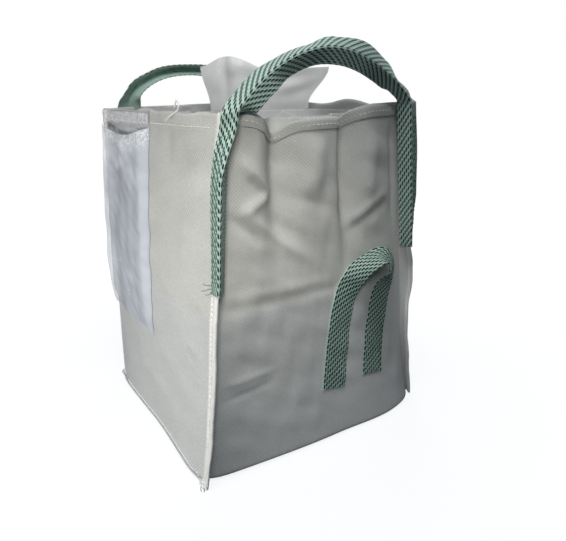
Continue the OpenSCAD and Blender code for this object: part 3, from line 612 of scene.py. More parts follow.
def seam_fin(z, turn, sx, sy, reach, lift, puckers):
    """Points of a standing corner seam: rows down the corner, columns out from the corner line"""
    t = z / BAG_H
    lean = seam_lean(t, sx, sy)
    fold, flat = np.cos(turn)[:, None], np.sin(turn)[:, None]
    way = unit(fold * xyz(sx * np.sin(lean), sy * np.cos(lean), 0 * lean) + flat * np.array([sx, 0, 0]))
    off = unit(fold * xyz(sx * np.cos(lean), -sy * np.sin(lean), 0 * lean) + flat * np.array([0, 0, 1]))
    width = lerp(seam_width(t, sx, sy), BASE_FIN_W, np.sin(turn)) + puckers
    drop = np.minimum(EAR_DROP * at_ear(t), z - BASE_Z)
    points = way[:, None] * (width[:, None] * reach)[..., None] + off[:, None] * lift[..., None]
    points[..., 2] -= drop[:, None] * np.minimum(reach, 1)
    return points


def puckered(z, sx, sy, size):
    return size * ripple(z, 0 * z, 31 + sx + 5 * sy, 60)


def hem_over(points, normals, height, gap):
    """Rows of a hem that is turned over to the outside, from its raw edge up to the fold at the rim"""
    drop = points[0, :, 2][None, :] - points[:, :, 2]
    count = int(np.sum(drop.mean(axis=1) < height)) + 1
    share = np.linspace(0, 1, count)[:, None, None]
    # Full below the fold, and down to half its thickness at the raw edge
    fullness = 1 - 0.5 * share ** 2 + 0.25 * np.sin(math.pi * share)
    layer = points[:count] + gap * fullness * normals[:count]
    fold = points[0] + 0.5 * gap * normals[0] + np.array([0, 0, 0.5 * gap])
    return np.concatenate([layer[::-1], fold[None]])


def with_hem(wall, fins, hem):
    """Wall and seam edges in one grid with the hem on top of it"""
    tops = [hem[:, [k]] + (fin - wall[:, [k]])[:1] for k, fin in ((0, fins[0]), (-1, fins[1]))]
    rows = np.concatenate([fins[0][:, ::-1], wall, fins[1]], axis=1)
    return np.concatenate([np.concatenate([tops[0][:, ::-1], hem, tops[1]], axis=1), rows])


def long_cloth():
    """Front wall, base and back wall in one piece, with its seam edges and both hems"""
    z, turn, inset = wall_levels()
    t = (z / BAG_H)[:, None]
    u = np.linspace(-1, 1, 101)[None, :]
    front = xyz(front_x(u, t), inset[:, None] - front_out(u, t), z[:, None] - front_drop(u) * t ** 6)
    back = xyz(corner_x(t) * u, back_out(u, t) - inset[:, None], z[:, None] + 0 * u)
    base = np.linspace(0, 1, BASE_ROWS + 2)[1:-1, None]
    floor = lerp(front[-1][None], back[-1][None], base[..., None])
    floor[..., 0] = corner_x(BASE_Z / BAG_H, 2 * base - 1) * u
    reach = np.linspace(0, 1, FIN_COLS + 1)[1:]
    flat = np.full((len(z), FIN_COLS), CORE_LIFT)
    walls = []
    for wall, sy in ((front, -1), (back, 1)):
        fins = [edge + seam_fin(z, turn, sx, sy, CORE_REACH * reach[None, :], flat, puckered(z, sx, sy, 0.9))
                for sx, edge in ((-1, wall[:, :1]), (1, wall[:, -1:]))]
        normals = grid_normals(wall) * (-1 if sy < 0 else 1)
        walls.append(with_hem(wall, fins, hem_over(wall, normals, FRONT_HEM, HEM_GAP)))
    side = reach * BASE_FIN_W
    flange = [floor[:, :1] + xyz(-side, 0, 0)[None, ::-1], floor[:, -1:] + xyz(side, 0, 0)[None]]
    under = np.concatenate([flange[0], floor, flange[1]], axis=1)
    points = np.concatenate([walls[0], under, walls[1][::-1]])[::-1]
    along = run(points[:, points.shape[1] // 2])
    half = BASE_W / 2
    across = np.concatenate([-half - reach[::-1] * FIN_W, u[0] * half, half + reach * FIN_W])
    panel = sheet_from("u_panel_cloth", points, across[None, :], along[:, None])
    return finish_sheet(panel, CLOTH_T, [FRONT_CLOTH])


def side_cloth(name, sx):
    """Side panel with its hem and its seam edges, which are rolled round the edge of the long cloth"""
    z, turn, inset = wall_levels()
    t = (z / BAG_H)[:, None]
    v = np.linspace(-1, 1, 81)[None, :]
    half = corner_y(t) - inset[:, None]
    wall = xyz(sx * side_out(v, t, sx), half * v, z[:, None] + 0 * v)
    wall[..., 2] -= 2.5 * smooth(0.9, 1, t) * ripple(230 * v, 0 * t, 24 + sx, 120)
    normals = unit(np.cross(np.gradient(wall, axis=0), np.gradient(wall, axis=1))) * -sx
    reach, lift = np.array(ROLLED_EDGE).T
    fins = []
    for sy, edge in ((-1, wall[:, :1]), (1, wall[:, -1:])):
        under_strap = smooth(BAG_H - SEWN_LEN - 12, BAG_H - SEWN_LEN + 4, z) if sy < 0 else 0 * z
        roll = lerp(1, 0.4, under_strap) * lerp(1, 0.5, np.sin(turn))
        wavy = 0.5 * ripple(z, 0 * z, 58 + sx + 5 * sy, 22)
        lifts = roll[:, None] * (lift[None, :] + wavy[:, None] * bump(reach, 0.8, 0.25)[None, :])
        fins.append(edge + seam_fin(z, turn, sx, sy, reach[None, :], lifts, puckered(z, sx, sy, 1.3)))
    points = with_hem(wall, fins, hem_over(wall, normals, SIDE_HEM, HEM_GAP))
    last = points[-1]
    foot = last[None] + np.linspace(0, BASE_FIN_W, 5)[1:, None, None] * np.array([sx, 0, 0])
    foot[1:, :, 2] += CLOTH_T + 0.3
    foot[:, :len(reach)] = last[:len(reach)]
    foot[:, -len(reach):] = last[-len(reach):]
    points = points[::-1]
    if sx > 0:
        points = points[:, ::-1]
    across = np.concatenate([-RIM_D / 2 - reach[::-1] * FIN_W, v[0] * RIM_D / 2, RIM_D / 2 + reach * FIN_W])
    along = run(points[:, points.shape[1] // 2])
    panel = sheet_from(name, points[:, ::-1], across[None, :], along[:, None])
    strip = sheet_from(name + "_foot", foot[::-1] if sx > 0 else foot, across[None, :],
                       np.arange(4)[:, None] * 2.0)
    return finish_sheet(join(panel, strip), CLOTH_T, [SIDE_CLOTH_PAINTED_LIGHT])


# Straps
SECTION = np.linspace(-1, 1, 25) * STRAP_W / 2
LEG_ROWS, HALF_ROWS = 63, 70
TIP_ROWS, ARCH_ROWS = 33, 110
LEG_OVER, LEG_STEP = 1.5, 5
FOLD_ROUND = 2.5
# Step along a path, as a share of it, from which its direction is taken
PATH_STEP = 0.002
# Slopes of the outer and the inner half of the webbing in degrees, along a strap: -1 is its sewn end on
# the left, 0 and 1 are the feet of the loop and 2 is its sewn end on the right
FRONT_SLOPES = {
    "at": (-1, -0.1, 0, 0.08, 0.16, 0.25, 0.36, 0.47, 0.56, 0.66, 0.76, 0.86, 0.95, 1, 1.3, 1.6, 1.8, 2),
    "outer": (90, 82, 62, 66, 67, 69, 80, 80, 50, 22, 36, 56, 33, 10, 6, 10, 24, 56),
    "inner": (52, 48, 20, 0, 0, 0, 24, 28, 14, 16, 37, 74, 86, 74, 78, 82, 84, 88)}
BACK_SLOPES = {
    "at": (-1, -0.12, 0, 0.12, 0.3, 0.5, 0.7, 0.88, 1, 1.12, 2),
    "outer": (0, 0, 7, 51, 72, 84, 72, 51, 7, 0, 0),
    "inner": (0, 0, 25, 59, 53, 50, 53, 59, 25, 0, 0)}


def eased(at, keys, values):
    """Values between keys, easing in and out at each key"""
    step = np.interp(at, keys, np.arange(len(keys)))
    low = np.minimum(step.astype(int), len(keys) - 2)
    return lerp(np.take(values, low), np.take(values, low + 1), smooth(0, 1, step - low))


def webbing_rows(fold, side, back, slope_out, slope_in):
    """Webbing folded along its middle: rows of points from the inner edge to the outer edge"""
    step = SECTION[1] - SECTION[0]
    mid = (SECTION[1:] + SECTION[:-1]) / 2
    bend = np.clip(np.abs(mid) / FOLD_ROUND, 0, 1)[None, :]
    angle = np.radians(np.where(mid > 0, slope_out[:, None], slope_in[:, None]) * bend)
    first = np.zeros((len(fold), 1))
    out = np.concatenate([first, np.cumsum(np.cos(angle) * step, axis=1)], axis=1)
    away = np.concatenate([first, np.cumsum(np.sin(angle) * np.sign(mid) * step, axis=1)], axis=1)
    centre = len(SECTION) // 2
    out, away = out - out[:, [centre]], away - away[:, [centre]]
    start = fold - STRAP_T / 2 * back
    return start[:, None] + out[..., None] * side[:, None] + away[..., None] * back[:, None]


def leg_way(lean):
    """Way out from a corner along its standing seam, as on the left front corner"""
    return xyz(-np.sin(lean), -np.cos(lean), 0 * lean)


def leg_side(lean):
    """Way across that seam, to its outer side"""
    return xyz(-np.cos(lean), np.sin(lean), 0 * lean)


def back_face(x, t):
    """Outside of the back wall and its hem"""
    return back_out(x / corner_x(t), t) + HEM_STAND * smooth(0.94, 0.97, t) + CLEAR


def front_leg(t, sx):
    """Fold line of a front leg over a corner seam, its outer side and the way back to the wall,
    all as on the left. The near leg comes off its seam just below the rim."""
    lean = seam_lean(t, sx, -1)
    fold = xyz(-corner_x(t), -corner_y(t), t * BAG_H) + (FIN_W + LEG_OVER) * leg_way(lean)
    if sx < 0:
        fold[:, 0] += near_pull(t) + LEG_STEP * smooth(0.9, 1, t)
    return fold, leg_side(lean), -leg_way(lean)


def back_leg(t, sx):
    """The same for a back leg, which lies flat on the back wall; y is mirrored later"""
    x = BACK_STRAP_IN - corner_x(t)
    fold = xyz(x, -back_face(-sx * x, t), t * BAG_H)
    return fold, np.broadcast_to([-1.0, 0, 0], fold.shape), np.broadcast_to([0, 1.0, 0], fold.shape)


LEGS = {-1: front_leg, 1: back_leg}


def half_fold(s, sx, sy):
    """Fold line of one half of a loop as on the left, from its foot to its crown"""
    foot = LEGS[sy](np.array([1.0]), sx)[0][0]
    crown = np.array([0, LEGS[sy](np.array([1.0]), 1)[0][0][1], BAG_H + LOOP_RISE[sy]])
    return bezier(foot, foot + LOOP_SHOULDER[sx, sy], crown - LOOP_CREST[sx, sy], crown, 2 * s[:, None])


def loop_half(s, sx, sy):
    """Fold line and its two directions for one half of a loop, as on the left"""
    along = unit(half_fold(s + PATH_STEP, sx, sy) - half_fold(s - PATH_STEP, sx, sy))
    outward = xyz(-along[:, 2], 0, along[:, 0])
    foot_side, foot_back = (line[0] for line in LEGS[sy](np.array([1.0]), sx)[1:])
    side = unit(lerp(foot_side, outward, smooth(0, 0.14, s)[:, None]))
    tilt = np.radians(ARCH_TILT) * smooth(0.05, 0.45, s)
    arch_back = np.cos(tilt)[:, None] * np.array([0, 1, 0]) - np.sin(tilt)[:, None] * side
    back = lerp(foot_back, arch_back, smooth(0, 0.25, s)[:, None])
    back = unit(back - np.sum(back * side, axis=1, keepdims=True) * side)
    return half_fold(s, sx, sy), side, back


def strap_points(sy, slopes):
    """One length of webbing: sewn at one corner, up in an arch and down to the next corner"""
    leg_t = np.linspace((BAG_H - SEWN_LEN) / BAG_H, 1, LEG_ROWS + 1)[:-1]
    half_s = np.linspace(0, 0.5, HALF_ROWS)
    left, right = ([np.concatenate(pair) for pair in zip(LEGS[sy](leg_t, sx), loop_half(half_s, sx, sy))]
                   for sx in (-1, 1))
    fold, side, back = (np.concatenate([a, b[-2::-1] * MIRROR]) for a, b in zip(left, right))
    at = np.concatenate([(leg_t - 1) / (1 - leg_t[0]), half_s])
    at = np.concatenate([at, 1 - at[-2::-1]])
    slope_out, slope_in = (eased(at, slopes["at"], slopes[half]) for half in ("outer", "inner"))
    points = webbing_rows(fold, side, back, slope_out, slope_in)
    if sy > 0:
        t = np.minimum(points[..., 2] / BAG_H, 1)
        sewn = 1 - smooth(-0.12, 0, np.minimum(at, 1 - at))[:, None]
        points[..., 1] = lerp(points[..., 1], -back_face(points[..., 0], t) - STRAP_T / 2, sewn)
        points = (points * np.array([1, -1, 1]))[:, ::-1]
    return points[:, ::-1]


def webbing_strap(name, points, face):
    """A strap along rows of points, with the given face and a plain reverse"""
    along = run(points[:, len(SECTION) // 2])
    strap = sheet_from(name, points, SECTION[None, :] + STRAP_W / 2, along[:, None])
    return finish_sheet(strap, STRAP_T * 0.9, [face, PLAIN_WEBBING], 0)


def front_face(x, z):
    t = np.clip(z / BAG_H, 0, 1)
    return -front_out(x / corner_x(t, -1), t)


def tip_path(s):
    """Middle of the tipping loop's arch; it slants to the right, and its right limb bulges"""
    half, lift = TIP_SPACING / 2, TIP_RISE * 4 / 3
    s = s[:, None]
    corners = ((-half, TIP_TOP), (-half, TIP_TOP + lift), (half, TIP_TOP + lift), (half, TIP_TOP))
    guides = (np.array([x, 0, z]) for x, z in corners)
    line = bezier(*guides, s)
    slant = TIP_SLANT * (line[:, 2:] - TIP_MIDDLE)
    sway = TIP_LEAN * np.sin(math.pi * s) ** 2 + TIP_BULGE * bump(s, 0.75, 0.15)
    return line + np.concatenate([TIP_X + sway + slant, 0 * s, 0 * s], axis=1)


def tipping_points():
    """Webbing sewn flat at both ends on the front wall, with an arch that stands off it"""
    end_z = np.linspace(TIP_Z, TIP_TOP, TIP_ROWS + 1)[:-1]
    s = np.linspace(0, 1, ARCH_ROWS)
    path = tip_path(s)
    along = unit(tip_path(s + PATH_STEP) - tip_path(s - PATH_STEP))
    turn = np.where(s < 0.5, smooth(0.02, 0.46, s), smooth(0.02, 0.3, 1 - s))
    lean = (lerp(*TIP_TURNS, smooth(0.45, 0.65, s)) * turn)[:, None]
    radial = xyz(-along[:, 2], 0, along[:, 0])
    normal = unit((1 - lean) * np.array([0, -1, 0]) + lean * radial)
    width = np.cross(normal, along)
    stand = CLEAR + STRAP_T / 2 + TIP_STAND * STRAP_W * turn
    middle = xyz(path[:, 0], front_face(path[:, 0], path[:, 2]) - stand, path[:, 2])
    arch = middle[:, None] + SECTION[None, :, None] * width[:, None]
    on_wall = front_face(arch[..., 0], arch[..., 2]) - CLEAR - STRAP_T / 2
    arch[..., 1] = lerp(on_wall, arch[..., 1], turn[:, None])
    ends = []
    for sx, row in ((-1, 0), (1, -1)):
        middle_x = TIP_X + sx * TIP_SPACING / 2 + TIP_SLANT * (end_z[:, None] - TIP_MIDDLE)
        x = middle_x + SECTION[None, :] * width[row, 0]
        z = end_z[:, None] - TIP_SLANT * SECTION[None, :] * width[row, 0]
        ends.append(xyz(x, front_face(x, z) - CLEAR - STRAP_T / 2, z))
    return np.concatenate([ends[0], arch, ends[1][::-1]])[:, ::-1]


# Document pouch
POUCH_BACK = corner_y((POUCH_TOP - POUCH_H) / BAG_H) - POUCH_ROOM
POUCH_FRONT = POUCH_BACK - POUCH_W


def left_face(y, z):
    t = z / BAG_H
    return -side_out(np.clip(y / corner_y(t), -1, 1), t, -1)


def pouch_back_sheet():
    """Back film with the header that is sewn to the hem"""
    z = np.linspace(POUCH_TOP - POUCH_H, BAG_H - 3, 110)[:, None]
    back_edge = POUCH_BACK + HEADER_OVER * smooth(POUCH_TOP - 60, POUCH_TOP, z)
    y = lerp(POUCH_FRONT, back_edge, np.linspace(0, 1, 49))
    hem = smooth(BAG_H - SIDE_HEM - 6, BAG_H - SIDE_HEM, z) * (HEM_STAND + CLOTH_T)
    x = left_face(y, z) - CLEAR - 0.5 - hem
    film = sheet_from("pouch_back_sheet", xyz(x, y, z)[:, ::-1], y[:, ::-1], BAG_H + 60 - z)
    return finish_sheet(film, FILM_T, [HEADER_FILM, FILM_REVERSE])


def pouch_front_sheet():
    """Front film: its mouth sags and its back edge hangs loose round the corner"""
    k = np.linspace(0, 1, 130)[:, None]
    v = np.linspace(-1, 1, 61)[None, :]
    back_edge = POUCH_BACK + lerp(HEADER_OVER, POUCH_LOOSE, smooth(0.05, 0.4, k))
    y = lerp(POUCH_FRONT, back_edge, (v + 1) / 2)
    mouth = MOUTH_EDGE + MOUTH_SAG * (1 - v * v)
    z = POUCH_TOP - lerp(mouth, POUCH_H, k)
    bulge = POUCH_BULGE * smooth(-1, -0.75, v) * (1 - k ** 6)
    wrinkles = 0.7 * ripple(1.2 * y, 0.5 * z, 63, 75) * smooth(-1, -0.5, v) * (1 - k ** 6)
    loose = 4.5 * smooth(0.5, 0.85, v) * (1 - k ** 8)
    loose = loose * (1 + 0.5 * smooth(0.3, 0.5, k) * ripple(0.4 * y, z, 64, 120))
    lip = MOUTH_LIP * np.exp(-k / 0.03) * (1 - v ** 4)
    x = left_face(y, z) - CLEAR - FILM_T - POUCH_STAND - bulge - wrinkles - loose - lip
    below = POUCH_TOP - mouth - z
    film = sheet_from("pouch_front_sheet", xyz(x, y, z)[::-1, ::-1], y[:, ::-1], below[::-1])
    return finish_sheet(film, FILM_T, [POUCH_FILM, FILM_REVERSE])


# Liner
FOLD_LEFT = np.array([-0.028 * RIM_W / 2, 0.766 * RIM_D / 2])
FOLD_RIGHT = np.array([0.812 * RIM_W / 2, 0.035 * RIM_D / 2])
FOLD_RUN_OUT = 60
FOLD_LENGTH = np.linalg.norm(FOLD_RIGHT - FOLD_LEFT)
FOLD_WAY = (FOLD_RIGHT - FOLD_LEFT) / FOLD_LENGTH
FOLD_OVER = np.array([FOLD_WAY[1], -FOLD_WAY[0]])


def cut_corner(points, amount):
    """Moves what lies past the fold line onto it, fading beyond the ends of the line"""
    rel = points[..., :2] - FOLD_LEFT
    past, along = rel @ FOLD_OVER, rel @ FOLD_WAY
    hit = smooth(-FOLD_RUN_OUT, 0, along) * (1 - smooth(FOLD_LENGTH, FOLD_LENGTH + FOLD_RUN_OUT, along))
    moved = points.copy()
    moved[..., :2] -= (np.where(past < 0, past, 0) * hit * amount)[..., None] * FOLD_OVER
    return moved


def liner_cup():
    """Open film bag inside the cloth; near its top it cuts across the back right corner"""
    t = np.linspace((BASE_Z + BEND_R + 2) / BAG_H, LINER_TOP / BAG_H, 70)[:, None]
    u = np.linspace(-1, 1, 61)[None, :]
    v = np.linspace(-1, 1, 41)[None, 1:-1]
    gap = LINER_GAP + 0.5
    y = corner_y(t) - gap
    z = t * BAG_H
    sides = [xyz(front_x(u, t) - gap * u, gap - front_out(u, t), z),
             xyz(side_out(v, t, 1) - gap, y * v, z),
             xyz((corner_x(t) - gap) * -u, back_out(-u, t) - gap, z),
             xyz(gap - side_out(-v, t, -1), y * -v, z)]
    wall = np.concatenate(sides + [sides[0][:, :1]], axis=1)
    wall = cut_corner(wall, smooth(0.62, 0.9, t))
    way = unit(wall[:, :, :2])
    wave = 1.3 * ripple(np.arange(wall.shape[1])[None, :] * 9.0, 0.5 * z, 71, 60)
    wave[:, -1] = wave[:, 0]
    wall[..., :2] -= way * (1.5 + wave)[..., None]
    shrink = np.linspace(1, 0, 9)[1:, None, None]
    foot_share, foot_z = 0.93, 3.2
    foot = wall[:1] * np.array([foot_share, foot_share, 0]) * shrink + np.array([0, 0, foot_z])
    points = np.concatenate([foot[::-1], wall])
    across = np.linspace(0, LINER_ROUND, points.shape[1])
    along = run(points[:, 0])
    film = sheet_from("liner_cup", points, across[None, :], along[-1] - along[:, None])
    select_only(film)
    bpy.ops.object.mode_set(mode="EDIT")
    bpy.ops.mesh.select_all(action="SELECT")
    bpy.ops.mesh.remove_doubles(threshold=0.02 * MM)
    bpy.ops.object.mode_set(mode="OBJECT")
    return finish_sheet(film, FILM_T, [LINER_FILM])


def standing_film():
    """Flap of the liner that stands up on its straight fold line, with long soft folds.
    Its right end leans out further than its left end, and its top edge falls from a peak on the left."""
    a = np.linspace(-0.5, 0.5, 81)[None, :]
    k = np.linspace(0, 1, 61)[:, None]
    opened = smooth(0.1, 1, k)
    along = FLAP_SHIFT + FLAP_SLANT * opened + a * (FLAP_W + FLAP_FLARE * opened)
    wave = 9 * k * np.sin(2 * math.pi * a) - 14 * k * k * (1 - 4 * a * a)
    wave = wave - 5 * k * bump(a, -0.33, 0.04) + 4 * k * bump(a, -0.26, 0.04) - 4 * k * k * bump(a, 0.1, 0.07)
    wave = wave + 1.5 * k * ripple(220 * a, 120 * k, 81, 45)
    middle = (FOLD_LEFT + FOLD_RIGHT) / 2
    flat = middle + along[..., None] * FOLD_WAY + wave[..., None] * FOLD_OVER
    crest = 1 - 0.17 * smooth(0.32, 0.5, -a) - 0.27 * smooth(-0.3, 0.05, a)
    z = LINER_TOP + 0.6 + FLAP_H * k * crest
    film = sheet_from("standing_film", xyz(flat[..., 0], flat[..., 1], z), 240 * a, 40 + FLAP_H * (1 - k))
    return finish_sheet(film, FILM_T, [LINER_FILM])


# Stitches
def stitch_shape():
    """One stitch: a short fat strand, pinched at both ends and flat underneath. Its faces are sorted, since
    the primitive's own order changes from run to run."""
    deselect()
    bpy.ops.mesh.primitive_uv_sphere_add(segments=6, ring_count=5, radius=1)
    obj = bpy.context.object
    count = len(obj.data.vertices)
    flat = np.empty(count * 3)
    obj.data.vertices.foreach_get("co", flat)
    shape = flat.reshape(-1, 3)[:, [2, 0, 1]]
    shape[:, 2] = np.maximum(shape[:, 2], -0.5)
    shape[:, 1] += 0.25 * shape[:, 0]
    faces = []
    for polygon in obj.data.polygons:
        face = list(polygon.vertices)
        first = face.index(min(face))
        faces.append(face[first:] + face[:first])
    bpy.data.objects.remove(obj)
    return shape, sorted(faces)


STITCH_SHAPE, STITCH_FACES = stitch_shape()


def at_lengths(at, reach, values):
    """Values of a path at some lengths along it"""
    return np.stack([np.interp(at, reach, values[:, k]) for k in range(3)], axis=1)


def stitch_row(name, paths):
    """Stitches along paths; with each path comes the direction away from the cloth"""
    points, faces = [], []
    for path, away in paths:
        path = np.asarray(path, float)
        reach = run(path)
        count = max(int(reach[-1] / STITCH_PITCH), 1)
        at = (np.arange(count) + 0.5) * reach[-1] / count
        spot = at_lengths(at, reach, path)
        along = unit(at_lengths(at + 2, reach, path) - at_lengths(at - 2, reach, path))
        up = at_lengths(at, reach, np.broadcast_to(np.asarray(away, float), path.shape))
        up = unit(up - np.sum(up * along, axis=1, keepdims=True) * along)
        over = np.cross(up, along)
        for k in range(count):
            turn = np.stack([along[k] * STITCH_LEN / 2, over[k] * THREAD_D / 2, up[k] * THREAD_D / 2])
            start = len(points) * len(STITCH_SHAPE)
            points.append(spot[k] + STITCH_SHAPE @ turn)
            faces += [[start + i for i in f] for f in STITCH_FACES]
    mesh = bpy.data.meshes.new(name)
    mesh.from_pydata((np.concatenate(points) * MM).tolist(), [], faces)
    mesh.update()
    obj = bpy.data.objects.new(name, mesh)
    bpy.context.collection.objects.link(obj)
    select_only(obj)
    bpy.ops.object.shade_smooth()
    return obj


def strands(name, paths, radius):
    """Loose ends of thread: round strands, each along a curve through four guide points"""
    curve = bpy.data.curves.new(name, "CURVE")
    curve.dimensions = "3D"
    curve.bevel_depth = radius * MM
    curve.bevel_resolution = 1
    s = np.linspace(0, 1, 14)[:, None]
    for path in paths:
        line = bezier(*np.asarray(path, float), s) * MM
        spline = curve.splines.new("POLY")
        spline.points.add(len(line) - 1)
        spline.points.foreach_set("co", np.concatenate([line, 0 * s + 1], axis=1).ravel())
    obj = bpy.data.objects.new(name, curve)
    bpy.context.collection.objects.link(obj)
    select_only(obj)
    bpy.ops.object.convert(target="MESH")
    bpy.ops.object.shade_smooth()
    return bpy.context.object


def flipped(points, sx, sy):
    return points * np.array([-sx, -sy, 1])


def seam_stitches(sx, sy, share):
    """Stitches in the groove of a standing seam; a front one ends below the strap"""
    top = BAG_H - SEWN_LEN - 4 if sy < 0 else BAG_H - 12
    z = np.linspace(EAR_TOP * BAG_H, top, 70)
    t = z / BAG_H
    corner = xyz(-corner_x(t, sy), -corner_y(t), z)
    if (sx, sy) == (-1, -1):
        corner[:, 0] += near_pull(t)
    lean = seam_lean(t, sx, sy)
    path = corner + (share * seam_width(t, sx, sy))[:, None] * leg_way(lean)
    path = path + (CLOTH_T + 0.6) * leg_side(lean)
    return flipped(path, sx, sy), flipped(leg_side(lean), sx, sy)


def base_stitches(sx):
    v = np.linspace(-0.99, 0.99, 30)
    x = sx * (corner_x(0, v) + 0.6 * BASE_FIN_W)
    return xyz(x, (BASE_D / 2 - BEND_R) * v, BASE_Z + 2 * CLOTH_T + 1), [0, 0, 1]


def front_hem_stitches():
    u = np.linspace(-0.93, 0.93, 80)
    t = 1 - FRONT_HEM_ROW * FRONT_HEM / BAG_H
    y = -front_out(u, t) - HEM_GAP - 0.7
    return xyz(front_x(u, t), y, t * BAG_H - front_drop(u) * t ** 6), [0, -1, 0]


def back_hem_stitches():
    t = 1 - FRONT_HEM_ROW * FRONT_HEM / BAG_H
    half = corner_x(t) - BACK_STRAP_IN - STRAP_W / 2 - 4
    x = np.linspace(-half, half, 60)
    return xyz(x, back_out(x / corner_x(t), t) + HEM_GAP + STITCH_LIFT, t * BAG_H), [0, 1, 0]


def side_hem_stitches(sx, start, end, stand):
    y = np.linspace(start, end, 60)
    t = 1 - SIDE_HEM_ROW * SIDE_HEM / BAG_H
    x = side_out(y / corner_y(t), t, sx) + HEM_GAP + stand
    return xyz(sx * x, y, t * BAG_H), [sx, 0, 0]


def strap_stitches(points, rows, columns):
    """Stitches down the columns of a strap's sewn end"""
    away = grid_normals(points)
    found = []
    for column in columns:
        normal = away[rows, column]
        found.append((points[rows, column] + (0.45 * STRAP_T + STITCH_LIFT) * normal, normal))
    return found


def build_stitches(straps, tipping):
    """All rows of stitches, white on the cloth and green on the webbing, each for its own node"""
    words, ends = {-1: "left", 1: "right"}, {-1: "front", 1: "back"}
    leg_rows = {-1: slice(4, LEG_ROWS - 4), 1: slice(4 - LEG_ROWS, -4)}
    tip_rows = {-1: slice(3, TIP_ROWS - 3), 1: slice(3 - TIP_ROWS, -3)}
    outer_half, both_edges, tip_edges = (3, 8), (5, 19), (3, 21)
    hem_end = 0.93 * RIM_D / 2
    white, green = [], []
    for sy in (-1, 1):
        for sx in (-1, 1):
            corner = f"{ends[sy]}_{words[sx]}"
            white.append((f"{corner}_seam", [seam_stitches(sx, sy, share) for share in SEAM_ROWS]))
            columns = outer_half if sy < 0 else both_edges
            green.append((f"{corner}_strap", strap_stitches(straps[sy], leg_rows[sx], columns)))
    for sx in (-1, 1):
        white.append((f"{words[sx]}_base_seam", [base_stitches(sx)]))
        green.append((f"tipping_{words[sx]}", strap_stitches(tipping, tip_rows[sx], tip_edges)))
    film_lift = CLOTH_T + FILM_T + 0.9
    white += [("front_hem", [front_hem_stitches()]),
              ("back_hem", [back_hem_stitches()]),
              ("left_hem", [side_hem_stitches(-1, -hem_end, POUCH_FRONT - 4, STITCH_LIFT)]),
              ("right_hem", [side_hem_stitches(1, -hem_end, hem_end, STITCH_LIFT)]),
              ("pouch", [side_hem_stitches(-1, POUCH_FRONT + 5, POUCH_BACK - 5, film_lift)])]
    for rows, thread in ((white, WHITE_THREAD), (green, GREEN_THREAD)):
        for name, paths in rows:
            row = stitch_row(f"{name}_stitches", paths)
            row.data.materials.append(thread)
            place(row, "bag", [f"{name}_thread"])


def loose_threads():
    """Tail of the hem thread, frayed ends at the foot of the near strap and two at the base corner"""
    tail = strands("hem_thread_tail", [
        [(-188, -83, 587), (-193, -103, 592), (-193, -122, 597), (-191, -140, 604)],
        [(-191, -140, 604), (-190, -148, 609), (-188, -141, 621), (-188, -131, 617)],
        [(-188, -131, 617), (-188, -124, 613), (-189, -127, 608), (-190, -131, 606)]], 1.4)
    tail.data.materials.append(WHITE_THREAD)
    frayed = strands("frayed_threads", [
        [(-205, -240, 352), (-209, -238, 356), (-213, -236, 352), (-216, -233, 357)],
        [(-206, -240, 348), (-211, -238, 350), (-214, -236, 344), (-219, -232, 346)],
        [(-205, -242, 344), (-208, -240, 342), (-210, -238, 338), (-214, -235, 339)],
        [(-256, -246, 13), (-258, -248, 12), (-259, -249, 9), (-258, -250, 6)],
        [(-253, -249, 9), (-254, -251, 8), (-253, -252, 5), (-255, -252, 4)]], 0.6)
    frayed.data.materials.append(GREEN_THREAD)
    for obj in (tail, frayed):
        place(obj, "bag")


# Assembly
cloth = place(long_cloth(), "bag", ["u_panel"])
left_cloth = place(side_cloth("left_side_cloth", -1), "bag", ["left_side_panel"])
right_cloth = place(side_cloth("right_side_cloth", 1), "bag", ["right_side_panel"])

strap_rows = {-1: strap_points(-1, FRONT_SLOPES), 1: strap_points(1, BACK_SLOPES)}
for side, sy, y in (("front", -1, -0.2553), ("back", 1, 0.2416)):
    nodes = [f"{side}_loop", f"{side}_loop_left_bend", f"{side}_loop_right_bend",
             f"{side}_strap_left_leg", f"{side}_strap_right_leg"]
    strap = place(webbing_strap(f"{side}_lift_strap", strap_rows[sy], LIFT_WEBBING), nodes=nodes)
    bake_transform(strap)
tip_rows = tipping_points()
tip_strap = place(webbing_strap("tipping_strap", tip_rows, TIP_WEBBING), nodes=[
    "tipping_loop", "tipping_left_bend", "tipping_right_bend", "tipping_left_end", "tipping_right_end"])
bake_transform(tip_strap)

pouch_back = place(pouch_back_sheet(), nodes=["pouch_back_film", "pouch_header"])
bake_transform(pouch_back)
pouch_front = place(pouch_front_sheet(), "document_pouch", ["pouch_front_film"])
liner = place(liner_cup(), "bag", ["liner"])
flap = place(standing_film(), "standing_flap", ["liner_flap"])
build_stitches(strap_rows, tip_rows)
loose_threads()

# Camera, fitted to the corners of the bag in the photograph
VIEW_YAW, VIEW_PITCH, VIEW_ROLL = np.radians([33.7, 19.0, -1.9])
VIEW_FROM = (-0.534, -0.9276, 0.6336)
FOCAL_PIXELS, PICTURE_PIXELS = 535, 566
SENSOR_MM = 36
ahead = np.array([math.sin(VIEW_YAW) * math.cos(VIEW_PITCH), math.cos(VIEW_YAW) * math.cos(VIEW_PITCH),
                  -math.sin(VIEW_PITCH)])
right = np.array([math.cos(VIEW_YAW), -math.sin(VIEW_YAW), 0])
upward = np.cross(right, ahead)
right, upward = (math.cos(VIEW_ROLL) * right + math.sin(VIEW_ROLL) * upward,
                 math.cos(VIEW_ROLL) * upward - math.sin(VIEW_ROLL) * right)
camera_data = bpy.data.cameras.new("camera")
camera_data.sensor_width = SENSOR_MM
camera_data.lens = SENSOR_MM * FOCAL_PIXELS / PICTURE_PIXELS
camera = bpy.data.objects.new("camera", camera_data)
bpy.context.collection.objects.link(camera)
